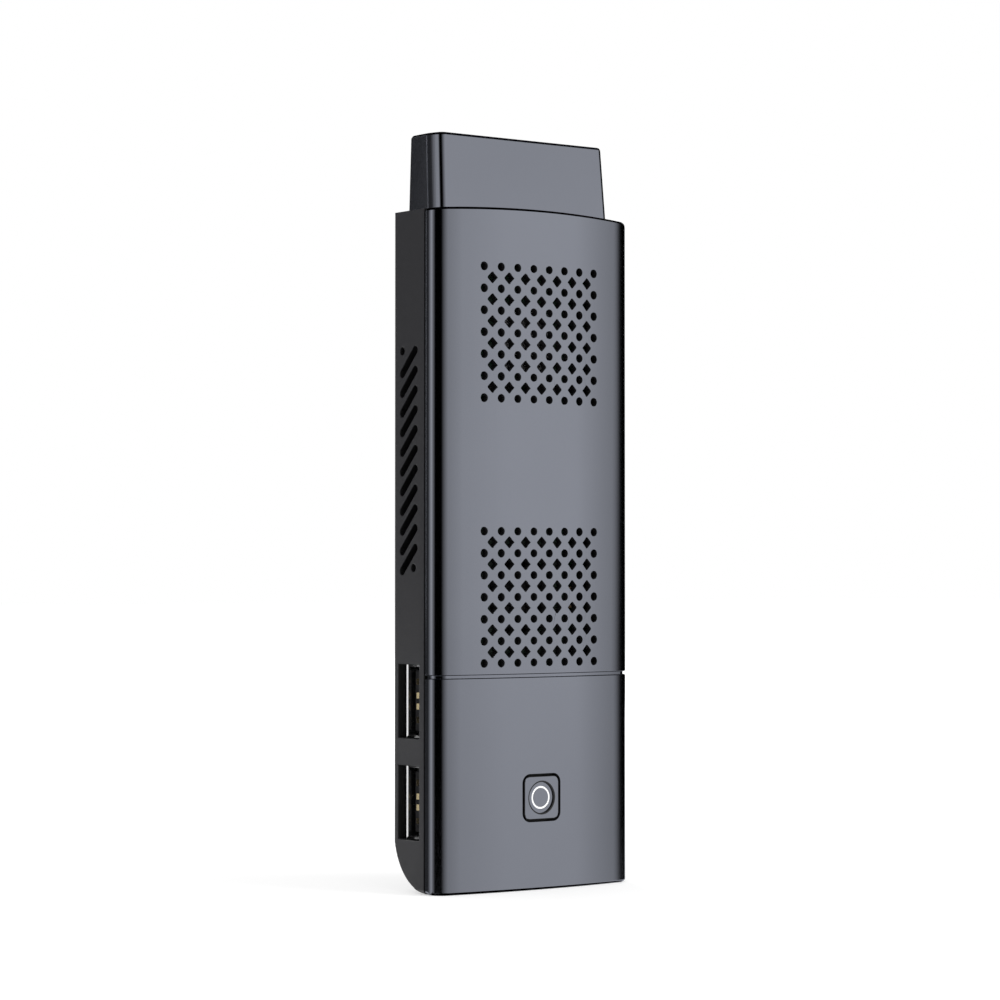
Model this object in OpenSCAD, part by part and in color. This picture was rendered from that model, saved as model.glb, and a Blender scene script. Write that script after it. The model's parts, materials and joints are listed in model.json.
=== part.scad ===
// Stick computer that plugs straight into a screen's video socket.
// Frame: +Z runs along the stick towards the video plug, -Y is the crowned front
// with the vents and the power key, and +X is to the right as seen from the front.
// The origin is the middle of the video plug where it leaves the arched end.

/* [Body] */
// Width of the body across the front
body_w = 45.4; // [43:0.1:52]
// Thickness from the crown of the front to the back
body_t = 14.8; // [14.6:0.2:18]
// Length of the body without plug and cap
body_l = 125; // [123:0.5:145]
// Side and end walls of the rear shell
wall = 1.9; // [1.6:0.1:2.2]
// Back wall of the rear shell
back_wall = 1.5; // [1.2:0.1:1.7]
// Radius of the rounded lower back edge
toe_r = 10.8; // [6:0.1:11.2]
// Radius of the long back edges
back_edge_r = 0.3; // [0.2:0.1:1.2]
// Drop of the arched plug end from its middle to its sides
arch_drop = 0.8; // [0.4:0.1:1]
// Wall behind the crest of the arched plug end
end_wall = 2.2; // [2:0.1:2.6]

/* [Front covers] */
// Depth of the front covers from the crown to their rim
cover_d = 5.1; // [4.9:0.1:5.3]
// Wall of the front covers
cover_wall = 1.4; // [1.1:0.1:1.5]
// Radius of the crowned front
crown_r = 141; // [120:1:200]
// Radius of the long front edges
edge_r = 3.6; // [3:0.1:3.7]
// Radius of the body's lower corners, seen from the front
foot_r = 1; // [0.5:0.1:1.5]
// Shadow gap between the covers and the rear shell
rim_gap = 0.45; // [0.3:0.05:0.6]
// Length of the lower cover from the seam to the end
lower_cover_l = 39.55; // [38:0.05:44]
// Width of the open groove at the seam between the covers
seam_gap = 0.5; // [0.3:0.1:0.8]
// Depth of that groove
seam_depth = 0.5; // [0.4:0.05:0.6]
// Overlap of the lap joint under the seam
seam_lap = 1.2; // [0.8:0.1:2]
// Thickness of the locating lip of the rear shell
lip_t = 0.7; // [0.5:0.05:0.8]
// Height of that lip above the rim of the shell
lip_h = 1.6; // [1.2:0.1:1.8]
// Length of each snap hook along the edge
hook_l = 4; // [3:0.5:6]
// Thickness of each snap hook
hook_t = 0.65; // [0.5:0.05:0.7]
// How far each hook's barb reaches into the wall
barb = 0.4; // [0.2:0.05:0.45]
// Thickness of that barb
barb_t = 0.6; // [0.4:0.05:0.8]
// How far each hook reaches past the rim of the shell
hook_reach = 1.3; // [1:0.1:1.6]
// From the crest of the plug end to the first pair of hooks
first_hook = 14; // [12:0.5:18]
// From the seam up to the last pair of hooks of the upper cover
seam_hook = 11; // [9:0.5:14]
// From the lower end to the last pair of hooks of the lower cover
last_hook = 6; // [5:0.5:7]

/* [Front vents] */
// Diameter of the round vent holes
dot_d = 1.5; // [1:0.1:2]
// Corner to corner size of the diamond vent holes
diamond_w = 2.25; // [1.5:0.05:2.6]
// Round holes across one vent field
vent_cols = 8; // [4:1:9]
// Round holes along one vent field
vent_rows = 7; // [3:1:7]
// Spacing of the holes across
vent_pitch_x = 3.65; // [3.5:0.05:4]
// Spacing of the holes along
vent_pitch_z = 4; // [3.6:0.1:4.2]
// From the crest of the plug end to the first row of the upper field
upper_vent_start = 11.05; // [9:0.05:14]
// From the last row of the lower field to the seam
lower_vent_end = 2.15; // [2:0.05:6]

/* [Side vents] */
// Number of slanted slots
slot_count = 11; // [4:1:11]
// Spacing of the slots
slot_pitch = 3.6; // [3:0.1:4]
// Width of a slot
slot_w = 1.55; // [0.8:0.05:1.8]
// Distance between a slot's two round ends, front to back
slot_run = 4.05; // [3:0.05:4.2]
// Distance between a slot's two round ends along the stick
slot_rise = 4.15; // [3:0.05:5]
// From the crest of the plug end to the middle of the first slot
slot_start = 28.45; // [26:0.05:32]
// How far the first round side hole stands above its place in the row
side_dot_up = 0.55; // [0:0.05:1]
// How far the last round side hole stands behind its place in the row
side_dot_back = 0.55; // [0:0.05:1]

/* [Video plug and cap] */
// Width of the plug's metal shell
plug_w = 13.9; // [13.8:0.05:14]
// Thickness of the plug's metal shell
plug_t = 4.45; // [4.4:0.05:4.5]
// How far the plug stands out of the arched end
plug_reach = 11.7; // [10:0.1:12]
// Length of the plug inside the body
plug_seat = 8.5; // [7:0.5:9]
// Sheet thickness of the plug's shell
plug_sheet = 0.3; // [0.25:0.05:0.4]
// From the crown of the front to the middle of the plug
plug_depth = 9.7; // [9.6:0.05:9.9]
// Clearance of the plug in its opening
plug_clear = 0.2; // [0.1:0.05:0.4]
// Cut of the plug's two keyed edges
plug_cut = 1.3; // [1:0.1:1.6]
// How far the insulator stays behind the plug's mouth
plug_setback = 0.6; // [0.3:0.1:1]
// Width of the slot in the insulator
plug_slot_w = 11.4; // [10.6:0.1:11.8]
// Height of that slot
plug_slot_t = 1.7; // [1.5:0.05:1.9]
// Depth of that slot
plug_slot_depth = 9; // [7:0.1:10]
// Spacing of the plug's contacts
plug_contact_pitch = 1; // [0.9:0.05:1.05]
// Width of a plug contact
plug_contact_w = 0.45; // [0.3:0.05:0.6]
// Length of a plug contact
plug_contact_l = 8.2; // [5:0.1:8.6]
// Thickness of every contact
contact_t = 0.2; // [0.1:0.02:0.24]
// Height of the cap above the crest
cap_h = 13.6; // [13.2:0.1:16]
// Width of the cap at its foot
cap_w = 39.9; // [30:0.1:40.2]
// Depth of the cap at its foot
cap_d = 9.4; // [9.2:0.1:9.6]
// How far the cap stands in from the back of the body
cap_back_step = 0.7; // [0.3:0.05:0.9]
// How much each side of the cap leans in at its top
cap_side_draft = 0.4; // [0:0.1:1]
// How much the front of the cap leans back at its top
cap_front_draft = 1; // [0:0.1:1.2]
// Wall of the cap
cap_wall = 1.2; // [0.8:0.1:1.4]
// Radius of the cap's front corners
cap_corner_r = 1.1; // [0.3:0.1:1.4]
// Radius of the soft turn from the cap's sides to its front
cap_side_r = 7; // [6:0.1:9]
// Depth of that turn behind the cap's front
cap_turn = 3.6; // [2:0.1:5]
// Rounding of the cap's top edge
cap_top_r = 0.3; // [0.2:0.05:0.5]
// Gap between the cap's foot and the arched end
cap_gap = 0.15; // [0.1:0.05:0.3]
// Thickness of the ribs that grip the plug
rib_t = 1; // [0.8:0.1:1.4]
// Clearance of the ribs on the plug
rib_clear = 0.12; // [0.05:0.01:0.2]

/* [Data ports] */
// Outer width of a data port's metal shell
port_w = 13.1; // [13:0.05:13.3]
// Outer height of a data port's metal shell
port_h = 5.7; // [5.6:0.05:5.75]
// Depth of a data port
port_l = 13.8; // [10:0.1:14]
// Sheet thickness of a data port's shell
port_sheet = 0.3; // [0.25:0.05:0.4]
// Clearance of the opening at the ends of a data port
port_clear = 0.2; // [0.1:0.02:0.3]
// Clearance of the opening in front of a data port and behind it
port_room = 0.45; // [0.3:0.05:0.5]
// How far a data port's mouth stands in its opening
port_out = 0.2; // [0.1:0.05:0.3]
// Width of the lip in front of that mouth and behind it
port_lip = 0.3; // [0.2:0.05:0.35]
// Width of the lip at the ends of that mouth
port_lip_end = 0.1; // [0.05:0.01:0.14]
// Middle of the lower data port, from the lower end
port_from_end = 16.35; // [16:0.05:18]
// Spacing of the two data ports
port_pitch = 18.4; // [16:0.1:19]
// Thickness of a data port's tongue
tongue_t = 1.84; // [1.8:0.02:1.9]
// Width of a data port's tongue
tongue_w = 11.1; // [10.8:0.1:11.2]
// How far the tongue stays behind the mouth
tongue_setback = 1; // [0.5:0.1:2]
// Gap between the tongue and the back of the port
tongue_gap = 0.7; // [0.5:0.05:0.9]
// Length of the block that holds the tongue
port_block = 4.4; // [3:0.1:5]
// Width of a data contact
port_contact_w = 1.1; // [0.8:0.1:1.2]
// From the middle of the tongue to its inner and its outer contacts
port_contact_inner = 1; // [0.8:0.1:1.2]
port_contact_outer = 3.5; // [3:0.1:4]
// How far the data contacts reach round the tongue's tip
port_contact_wrap = 1.3; // [0.8:0.1:1.6]
// How far the power contacts stay behind their tongue's tip
inlet_contact_setback = 0.4; // [0.2:0.1:1]

/* [Power inlet, audio jack and card slot] */
// Outer width of the power inlet
inlet_w = 7.5; // [7.4:0.05:7.7]
// Outer height of the power inlet
inlet_h = 2.6; // [2.5:0.05:2.8]
// Depth of the power inlet
inlet_l = 5.6; // [5:0.1:6]
// Middle of the power inlet above the seam
inlet_above_seam = 15.45; // [12:0.25:18]
// Length of the block in the power inlet
inlet_block = 1.6; // [1:0.1:2]
// Width of the power inlet's tongue
inlet_tongue_w = 3.8; // [3.4:0.1:4.2]
// Thickness of the power inlet's tongue
inlet_tongue_t = 0.6; // [0.4:0.05:0.7]
// How far that tongue stays behind the mouth
inlet_setback = 1; // [0.6:0.1:1.5]
// Spacing of the power inlet's contacts
inlet_contact_pitch = 0.65; // [0.6:0.05:0.75]
// Width of a contact in the power inlet
inlet_contact_w = 0.4; // [0.3:0.05:0.5]
// Bore of the audio jack
jack_bore_d = 3.6; // [3.5:0.05:3.7]
// Depth of that bore
jack_bore_l = 14; // [12:0.5:14.5]
// Width and height of the audio jack's body
jack_w = 5.4; // [5.2:0.1:5.6]
// Diameter of the jack's round nose
jack_nose_d = 5; // [4.6:0.1:5.2]
// Middle of the audio jack, from the lower end
jack_from_end = 16; // [12:0.25:18]
// Closed wall behind the jack's bore
jack_end_wall = 1; // [0.6:0.1:1.2]
// Width of a solder tail of the jack
jack_tail_w = 1.4; // [1:0.1:1.6]
// Height of a solder tail of the jack
jack_tail_h = 2.4; // [1:0.1:3]
// Spacing of the solder tails
jack_tail_pitch = 3.6; // [3:0.1:4]
// Width of the memory card slot
card_w = 12.4; // [12:0.1:13]
// Height of the memory card slot
card_h = 1.5; // [1.4:0.05:1.8]
// Depth of the memory card slot
card_l = 14; // [12:0.5:14]
// Middle of the card slot below the seam
card_below_seam = 8.3; // [7.5:0.25:10]
// Thickness of the card slot's base
card_base_t = 0.4; // [0.3:0.05:0.5]
// How far that base stays behind the wall
card_base_setback = 1.4; // [1:0.1:2]
// Spacing of the card slot's contacts
card_contact_pitch = 1.1; // [1:0.05:1.2]
// Width of a card slot contact
card_contact_w = 0.6; // [0.4:0.05:0.7]
// Length of a card slot contact
card_contact_l = 4; // [3:0.1:6]
// From the slot's inner end to its contacts
card_contact_start = 1.5; // [1:0.1:2]
// Sheet thickness of the inlet and the card slot
small_sheet = 0.2; // [0.15:0.05:0.3]

/* [Power key] */
// Side of the square key
key_w = 7.9; // [6:0.1:9]
// Corner radius of the key
key_corner_r = 1.25; // [0.6:0.05:2]
// Gap round the key
key_gap = 0.44; // [0.2:0.02:0.6]
// Middle of the key, from the lower end
key_from_end = 16.9; // [16:0.05:20]
// Thickness of the key
key_t = 2.2; // [2:0.1:2.4]
// How far the key's flange reaches under the cover
key_flange = 0.5; // [0.4:0.05:0.8]
// Gap between that flange and the cover
flange_gap = 0.2; // [0.15:0.01:0.3]
// Travel of the key
key_travel = 0.4; // [0.25:0.05:0.4]
// Diameter of the round dish in the key
dish_d = 5.7; // [5:0.1:6.6]
// Depth of that dish
dish_depth = 0.35; // [0.2:0.05:0.5]
// Outer diameter of the light ring
ring_d = 4.25; // [3:0.05:4.8]
// Width of the light ring
ring_w = 0.4; // [0.3:0.05:0.6]
// Thickness of the light ring
ring_t = 0.6; // [0.4:0.05:0.8]
// Side of the switch under the key
switch_w = 6; // [5:0.1:6.4]
// Height of the switch
switch_h = 2.6; // [2.4:0.1:2.7]
// Diameter of the switch's plunger
plunger_d = 3.2; // [2:0.1:3.6]
// How far the plunger still stands out when the key is pressed
plunger_rise = 0.35; // [0.1:0.05:0.4]
// Length of the plunger inside the switch
plunger_seat = 0.95; // [0.8:0.05:1]
// Corner radius of the switch
switch_corner_r = 0.6; // [0.3:0.05:0.8]
// Thickness of the dome spring
dome_t = 0.15; // [0.1:0.01:0.2]
// Length, height and width of the status lamp
lamp_l = 1.6; // [1:0.1:2]
lamp_h = 0.7; // [0.4:0.05:0.8]
lamp_w = 0.8; // [0.5:0.05:1]

/* [Board and chips] */
// Thickness of the main board
board_t = 1.2; // [1:0.1:1.4]
// Gap between the main board and the side walls
board_side_gap = 1; // [0.9:0.05:1.4]
// Gap between the main board and the end walls
board_end_gap = 0.8; // [0.6:0.1:1.5]
// Side of the processor package
processor_w = 15; // [12:0.5:17]
// Height of the processor package
processor_h = 1.1; // [0.8:0.1:1.3]
// Thickness of the thermal pad
pad_t = 0.4; // [0.2:0.1:0.5]
// Side of the wireless board
wireless_w = 12; // [10:0.5:14]
// Thickness of the wireless board
wireless_t = 0.8; // [0.6:0.1:1]
// Height of the shield on the wireless board
shield_h = 1.1; // [0.8:0.1:1.4]
// Margin of that shield on its board
shield_margin = 0.5; // [0.3:0.1:1]
// Least gap between neighbouring chips
chip_gap = 1.6; // [1.2:0.1:1.8]
// Width of a memory chip
memory_w = 8; // [7:0.1:8.6]
// Length of a memory chip
memory_l = 11; // [9:0.1:12]
// Height of the memory and flash chips
memory_h = 1; // [0.8:0.1:1.2]
// Width of the flash chip
flash_w = 11.5; // [10:0.1:13]
// Length of the flash chip
flash_l = 12; // [10:0.1:13]
// Side of the power chip
power_chip_w = 6; // [4:0.1:7]
// Height of the power chip and of the capacitors
power_chip_h = 0.9; // [0.7:0.05:1.1]
// Side of a power coil
coil_w = 4; // [3:0.1:4.4]
// Height of a power coil
coil_h = 2; // [1.4:0.1:2.4]
// Spacing of the power coils
coil_pitch = 6; // [5:0.1:6.4]
// Length of a capacitor
capacitor_l = 1.8; // [1.4:0.1:2]
// Width of a capacitor
capacitor_w = 1; // [0.8:0.1:1.2]
// Gap between neighbouring capacitors
capacitor_gap = 0.8; // [0.6:0.1:1]
// Width of the clock crystal
crystal_w = 2.5; // [2:0.1:3.2]
// Length of the clock crystal
crystal_l = 3.2; // [2.5:0.1:4]
// Height of the clock crystal
crystal_h = 0.8; // [0.6:0.1:1]
// Length of a chip antenna
antenna_l = 9; // [6:0.1:9.5]
// Width of a chip antenna
antenna_w = 2; // [1.4:0.1:2.4]
// Height of a chip antenna
antenna_h = 1.2; // [0.8:0.1:1.4]
// Gap between the two chip antennas
antenna_apart = 7; // [5:0.5:8]

/* [Cooling] */
// Width of the heat sink
sink_w = 28; // [24:0.5:28]
// Length of the heat sink
sink_l = 27; // [24:0.5:28]
// Thickness of the heat sink's base
sink_base = 1; // [0.8:0.1:1.2]
// Side of a heat sink pin
pin_w = 1.2; // [0.8:0.1:1.6]
// Spacing of the heat sink pins
pin_pitch = 3.2; // [2.4:0.1:4]
// Gap between the pins and the back wall
pin_gap = 0.4; // [0.3:0.1:1]
// Wall of the heat sink's screw posts
sink_post_wall = 1; // [0.8:0.1:1.2]
// Gap between the upper data port and the fan housing
fan_port_gap = 0.4; // [0.3:0.1:1]
// Gap between the fan's outlet and the heat sink
duct_gap = 2.2; // [1:0.1:3]
// Side of the fan housing
fan_w = 24; // [23:0.1:24.4]
// Height of the fan housing without its cover
fan_h = 4.2; // [4:0.1:4.6]
// Wall of the fan housing
fan_wall = 0.8; // [0.6:0.1:1]
// Corner radius of the fan housing
fan_corner_r = 1.5; // [1.2:0.1:2]
// Wall of the fan's screw posts
fan_post_wall = 0.7; // [0.6:0.05:0.8]
// How far those posts stay in from the sides of the housing
fan_post_inset = 0.2; // [0.1:0.05:0.4]
// Width of the fan's outlet
outlet_w = 16; // [14:0.5:18]
// Thickness of the fan housing's front plate and of its cover
fan_plate = 0.5; // [0.4:0.05:0.6]
// Diameter of the fan's intake
intake_d = 15; // [12:0.5:16]
// Diameter of the impeller
impeller_d = 20.4; // [18:0.1:20.6]
// Diameter of the impeller's hub
hub_d = 9; // [8.8:0.1:11]
// Number of impeller blades
blade_count = 11; // [7:1:13]
// Thickness of a blade
blade_t = 0.6; // [0.4:0.1:0.8]
// Slant of the blades
blade_angle = 35; // [20:1:45]
// Running gap of the impeller to the plates on both sides
impeller_gap = 0.35; // [0.3:0.05:0.5]
// Diameter of the fan's shaft
shaft_d = 1; // [0.8:0.05:1.2]
// Radial clearance of the shaft in its bearing
shaft_clear = 0.03; // [0.02:0.005:0.05]
// Outer diameter of the bearing
bearing_d = 2.6; // [2.2:0.1:2.8]
// From the front of the impeller to the bearing
bearing_start = 1.6; // [1.4:0.05:1.7]
// Wall of the tube that holds the bearing
bearing_tube_t = 0.4; // [0.3:0.05:0.5]
// Wall of the impeller's hub
cup_wall = 0.5; // [0.4:0.05:0.6]
// Thickness of the ring magnet
magnet_t = 0.6; // [0.5:0.05:0.7]
// Gap between magnet and stator
air_gap = 0.4; // [0.3:0.05:0.5]
// Thickness of the stator's ring round the bearing tube
stator_ring = 0.4; // [0.3:0.05:0.5]
// Width of the stator's arms
stator_arm_w = 1.6; // [1.2:0.1:2]
// From the end of the bearing to the stator
stator_step = 0.3; // [0.2:0.05:0.5]
// Diameter of a fan wire
lead_d = 0.8; // [0.6:0.05:1]
// Spacing of the two fan wires
lead_pitch = 2; // [1.5:0.1:2.2]
// Length of the fan wires
lead_l = 1.4; // [1:0.1:2]
// From the top of the fan housing to the fan wires
lead_drop = 4; // [3:0.1:6]
// Width, height and length of the fan's socket
socket_w = 3; // [2.5:0.1:3.2]
socket_h = 1.6; // [1.2:0.1:2]
socket_l = 4.4; // [4:0.1:5]

/* [Fasteners] */
// Diameter of the screws
screw_d = 1.6; // [1.4:0.1:1.8]
// Diameter of the screw heads
screw_head_d = 3; // [2.6:0.1:3.2]
// Height of the screw heads
screw_head_h = 0.9; // [0.6:0.1:1]
// Diameter of the screw bosses
boss_d = 4.2; // [3.6:0.1:4.4]
// From the bosses to the edge of the board
boss_edge = 0.3; // [0.2:0.05:0.5]
// From the board's upper end to the middle of the upper bosses
boss_from_top = 16; // [14:0.5:17]
// From the board's lower end to the middle of the lower bosses
boss_from_bottom = 2.8; // [2.4:0.1:3.5]
// How far the screws reach past the board
screw_grip = 3; // [2:0.1:3.2]
// Free depth of the holes past the screws' ends
screw_room = 0.5; // [0.2:0.1:0.6]
// Slack of pieces that are pressed into a groove
groove_slack = 0.02; // [0.01:0.005:0.03]
// Clearance between pieces that slide past or locate each other
fit_clear = 0.1; // [0.05:0.01:0.12]

/* [Hidden] */
$fn = 64;

// A cut runs this far past the faces it goes through
over = 1;

// Planes from front to back
front_y = -plug_depth;
back_y = front_y + body_t;
rim_y = front_y + cover_d;
shell_rim_y = rim_y + rim_gap;
lip_y = shell_rim_y - lip_h;
board_back_y = -plug_t / 2;
board_front_y = board_back_y - board_t;
inner_back_y = back_y - back_wall;

// Planes across and along
half_w = body_w / 2;
inner_half = half_w - wall;
bottom_z = -body_l;
seam_z = bottom_z + lower_cover_l;
arch_r = (pow(half_w, 2) + pow(arch_drop, 2)) / (2 * arch_drop);
lip_out = inner_half + lip_t;
lip_top_z = -end_wall + lip_t;
lip_bottom_z = bottom_z + wall - lip_t;

// Vent fields
field_l = (vent_rows - 1) * vent_pitch_z;
upper_vent_z = -upper_vent_start;
lower_vent_z = seam_z + lower_vent_end + field_l;

// Ports on the two sides
port_y = board_back_y + port_h / 2;
port_lower_z = bottom_z + port_from_end;
port_upper_z = port_lower_z + port_pitch;
port_opening_w = port_w + 2 * port_clear;
port_opening_h = port_h + 2 * port_room;
inlet_z = seam_z + inlet_above_seam;
inlet_y = board_back_y + inlet_h / 2;
jack_z = bottom_z + jack_from_end;
jack_y = board_back_y + jack_w / 2;
jack_mouth_x = half_w - fit_clear;
jack_inner_x = jack_mouth_x - jack_bore_l - jack_end_wall;
card_z = seam_z - card_below_seam;
card_y = board_back_y + card_h / 2;

// Snap hooks
hook_end_y = shell_rim_y + hook_reach;
hook_x = inner_half - fit_clear;
hook_root_y = crown_y(hook_x) + cover_wall / 2;
upper_hooks = [-first_hook, (seam_z + seam_hook - first_hook) / 2, seam_z + seam_hook];
lower_hooks = [(port_upper_z + port_lower_z) / 2, bottom_z + last_hook];

// Board
board_half = inner_half - board_side_gap;
board_top_z = -end_wall - board_end_gap;
board_bottom_z = bottom_z + wall + board_end_gap;
boss_x = board_half - boss_d / 2 - boss_edge;
boss_z = [board_top_z - boss_from_top, board_bottom_z + boss_from_bottom];
board_posts = [for (side = [-1, 1], z = boss_z) [side * boss_x, z]];

// Cooling
fan_z = port_upper_z + port_w / 2 + fan_port_gap + fan_w / 2;
fan_front_y = board_back_y;
fan_back_y = fan_front_y + fan_h;
fan_inner_half = fan_w / 2 - fan_wall;
fan_post_d = screw_d + 2 * fan_post_wall;
fan_post = fan_w / 2 - fan_post_d / 2 - fan_post_inset;
fan_posts = [for (side = [-1, 1]) [side * fan_post, fan_z - fan_post]];
blade_y = [fan_front_y + fan_plate + impeller_gap, fan_back_y - impeller_gap];
stator_r = hub_d / 2 - cup_wall - magnet_t - air_gap;
bearing_y = [blade_y[0] + bearing_start, fan_back_y];
tube_r = bearing_d / 2 + bearing_tube_t;
lead_z = fan_z + fan_w / 2 - lead_drop;
socket_x = fan_w / 2 + lead_l;
sink_z = fan_z + fan_w / 2 + duct_gap + sink_l / 2;
pad_y = board_back_y + processor_h;
sink_y = pad_y + pad_t;
sink_grip = processor_h + pad_t + sink_base / 2;
sink_post_d = screw_d + 2 * sink_post_wall;
sink_posts = [
  for (sx = [-1, 1], sz = [-1, 1])
    [sx * (sink_w / 2 - sink_post_d / 2), sink_z + sz * (sink_l / 2 - sink_post_d / 2)]
];

// Key and switch
key_z = bottom_z + key_from_end;
key_back_y = front_y + key_t;
flange_y = front_y + cover_wall + flange_gap;
switch_y = board_front_y - switch_h;
stem_end_y = switch_y - key_travel - plunger_rise;
plunger_end_y = switch_y + plunger_seat;
dome_y = plunger_end_y + key_travel + fit_clear;

// Chips on the front of the board
memory_x = (memory_w + chip_gap) / 2;
memory_z = (memory_l + chip_gap) / 2;
crystal_x = -memory_x - memory_w / 2 - chip_gap - crystal_w / 2;
wireless_z = sink_z + memory_z + memory_l / 2 + chip_gap + wireless_w / 2;
flash_z = key_z + switch_w / 2 + chip_gap + flash_l / 2;
power_chip_x = -flash_w / 2 - chip_gap - power_chip_w / 2;
capacitor_pitch = capacitor_w + capacitor_gap;
capacitor_z = flash_z + power_chip_w / 2 + chip_gap + capacitor_l / 2;
coil_x = board_half - coil_w;
capacitor_x = coil_x - coil_w / 2 - chip_gap - capacitor_l / 2;
antenna_x = (antenna_l + antenna_apart) / 2;

// Places inside the plug and the ports
plug_inner_z = -end_wall - plug_seat;
plug_front_z = plug_reach - plug_setback;
plug_floor_z = plug_front_z - plug_slot_depth;
port_x = -inner_half;
port_back_x = port_x + port_l;
tongue_x = port_x + tongue_setback;
tongue_back_y = port_h / 2 - port_sheet - tongue_gap;
tongue_front_y = tongue_back_y - tongue_t;
inlet_mouth_x = half_w - fit_clear;
inlet_back_x = inlet_mouth_x - inlet_l;
inlet_tongue_x = inlet_back_x + inlet_block;
card_back_x = inner_half - card_l;

// Steps in the arcs of the covers' long edges, and how far those arcs start above the crown
edge_steps = 10;
corner_proud = 0.03;

// Thickness of the slices that the cap's form is drawn over
slice = 0.01;

// Shapes that are used again

module along_x(x0, x1) {
  translate([x0, 0, 0]) rotate([90, 0, 90]) linear_extrude(x1 - x0) children();
}

module along_y(y0, y1) {
  translate([0, y1, 0]) rotate([90, 0, 0]) linear_extrude(y1 - y0) children();
}

module along_z(z0, z1) {
  translate([0, 0, z0]) linear_extrude(z1 - z0) children();
}

module block(low, high) {
  translate(low) cube(high - low);
}

// Front to back place of the crowned front at a distance from the middle
function crown_y(x) = front_y + crown_r - sqrt(pow(crown_r, 2) - pow(x, 2));

// Points along an arc, from one angle to another
function arc_points(centre, r, start, end) =
  [for (i = [0 : edge_steps]) centre + r * [cos(start + (end - start) * i / edge_steps),
                                            sin(start + (end - start) * i / edge_steps)]];

// Rectangle centred on the origin with round corners
module soft_rect(w, h, r) {
  square([w - 2 * r, h], center = true);
  square([w, h - 2 * r], center = true);
  for (sx = [-1, 1], sz = [-1, 1])
    translate([sx * (w / 2 - r), sz * (h / 2 - r)]) circle(r);
}

// Bar with round ends between two points
module slot_shape(a, b, w) {
  run = b - a;
  translate(a) rotate(atan2(run[1], run[0])) {
    translate([0, -w / 2]) square([norm(run), w]);
    for (x = [0, norm(run)])
      translate([x, 0]) circle(d = w);
  }
}

// Rectangular tube outline, centred on the origin
module tube_outline(w, h, sheet) {
  difference() {
    square([w, h], center = true);
    square([w - 2 * sheet, h - 2 * sheet], center = true);
  }
}

// Cylinder along Y at a place in the XZ plane
module pin_y(place, y0, y1, d) {
  translate([place[0], 0, place[1]]) along_y(y0, y1) circle(d = d);
}

// Pan head screw, driven from the front, with its head on the plane head_y
module screw(place, head_y, reach) {
  difference() {
    union() {
      pin_y(place, head_y - screw_head_h, head_y, screw_head_d);
      pin_y(place, head_y - screw_head_h / 2, head_y + reach, screw_d);
    }
    translate([place[0], 0, place[1]])
      along_y(head_y - screw_head_h - over, head_y - screw_head_h / 2)
        circle(d = screw_head_d / 2, $fn = 6);
  }
}

// Casing

// What a round lower corner takes away from a square one, on the right
module foot_corner() {
  difference() {
    translate([half_w - foot_r, bottom_z - over]) square(foot_r + over);
    translate([half_w - foot_r, bottom_z + foot_r]) circle(foot_r);
  }
}

// Front view of the body, with the arched plug end and the flat lower end
module arched_outline() {
  difference() {
    intersection() {
      translate([0, -arch_r]) circle(arch_r, $fn = 1440);
      translate([-body_w, bottom_z]) square([2 * body_w, body_l + over]);
    }
    for (side = [0, 1])
      mirror([side, 0]) foot_corner();
  }
}

// Section of the rear shell across the stick, with round back edges
module back_section(half, y0, y1, r) {
  translate([-half, y0]) square([2 * half, y1 - r - y0]);
  translate([-half + r, y0]) square([2 * (half - r), y1 - y0]);
  for (sx = [-1, 1])
    translate([sx * (half - r), y1 - r]) circle(r);
}

// Side view of the rear shell, with the round toe
module toe_section(y0, y1, z0, z1, r) {
  start = max(y0, y1 - r);
  translate([y0, z0 + r]) square([y1 - y0, z1 - z0 - r]);
  if (start > y0) translate([y0, z0]) square([start - y0, r]);
  intersection() {
    translate([y1 - r, z0 + r]) circle(r);
    translate([start, z0]) square([y1 - start, r]);
  }
}

module shell_outside() {
  intersection() {
    along_z(bottom_z - over, over) back_section(half_w, shell_rim_y, back_y, back_edge_r);
    along_x(-body_w, body_w) toe_section(shell_rim_y - over, back_y, bottom_z, over, toe_r);
    along_y(shell_rim_y - over, back_y + over) arched_outline();
  }
}

module shell_inside() {
  along_x(-inner_half, inner_half)
    toe_section(shell_rim_y - over, inner_back_y, bottom_z + wall, -end_wall, toe_r - wall);
}

module shell_lip() {
  along_y(lip_y, shell_rim_y + over) difference() {
    translate([-lip_out, lip_bottom_z]) square([2 * lip_out, lip_top_z - lip_bottom_z]);
    translate([-inner_half, bottom_z + wall]) square([2 * inner_half, body_l - wall - end_wall]);
  }
}

// Slanted slots, with one round hole where the row starts and one where it ends
module side_vents() {
  back_end = [port_y + slot_run / 2, -slot_rise / 2];
  front_end = [port_y - slot_run / 2, slot_rise / 2];
  along_x(-half_w - over, -inner_half + over) {
    for (i = [0 : slot_count - 1])
      translate([0, -slot_start - i * slot_pitch]) slot_shape(back_end, front_end, slot_w);
    translate([0, side_dot_up + slot_pitch - slot_start] + back_end) circle(d = dot_d);
    translate([side_dot_back, -slot_start - slot_count * slot_pitch] + front_end) circle(d = dot_d);
  }
}

module hook_pockets() {
  for (z = concat(upper_hooks, lower_hooks))
    block([-inner_half - barb - fit_clear, hook_end_y - barb_t - fit_clear, z - hook_l / 2 - fit_clear],
          [inner_half + barb + fit_clear, hook_end_y + fit_clear, z + hook_l / 2 + fit_clear]);
}

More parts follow.
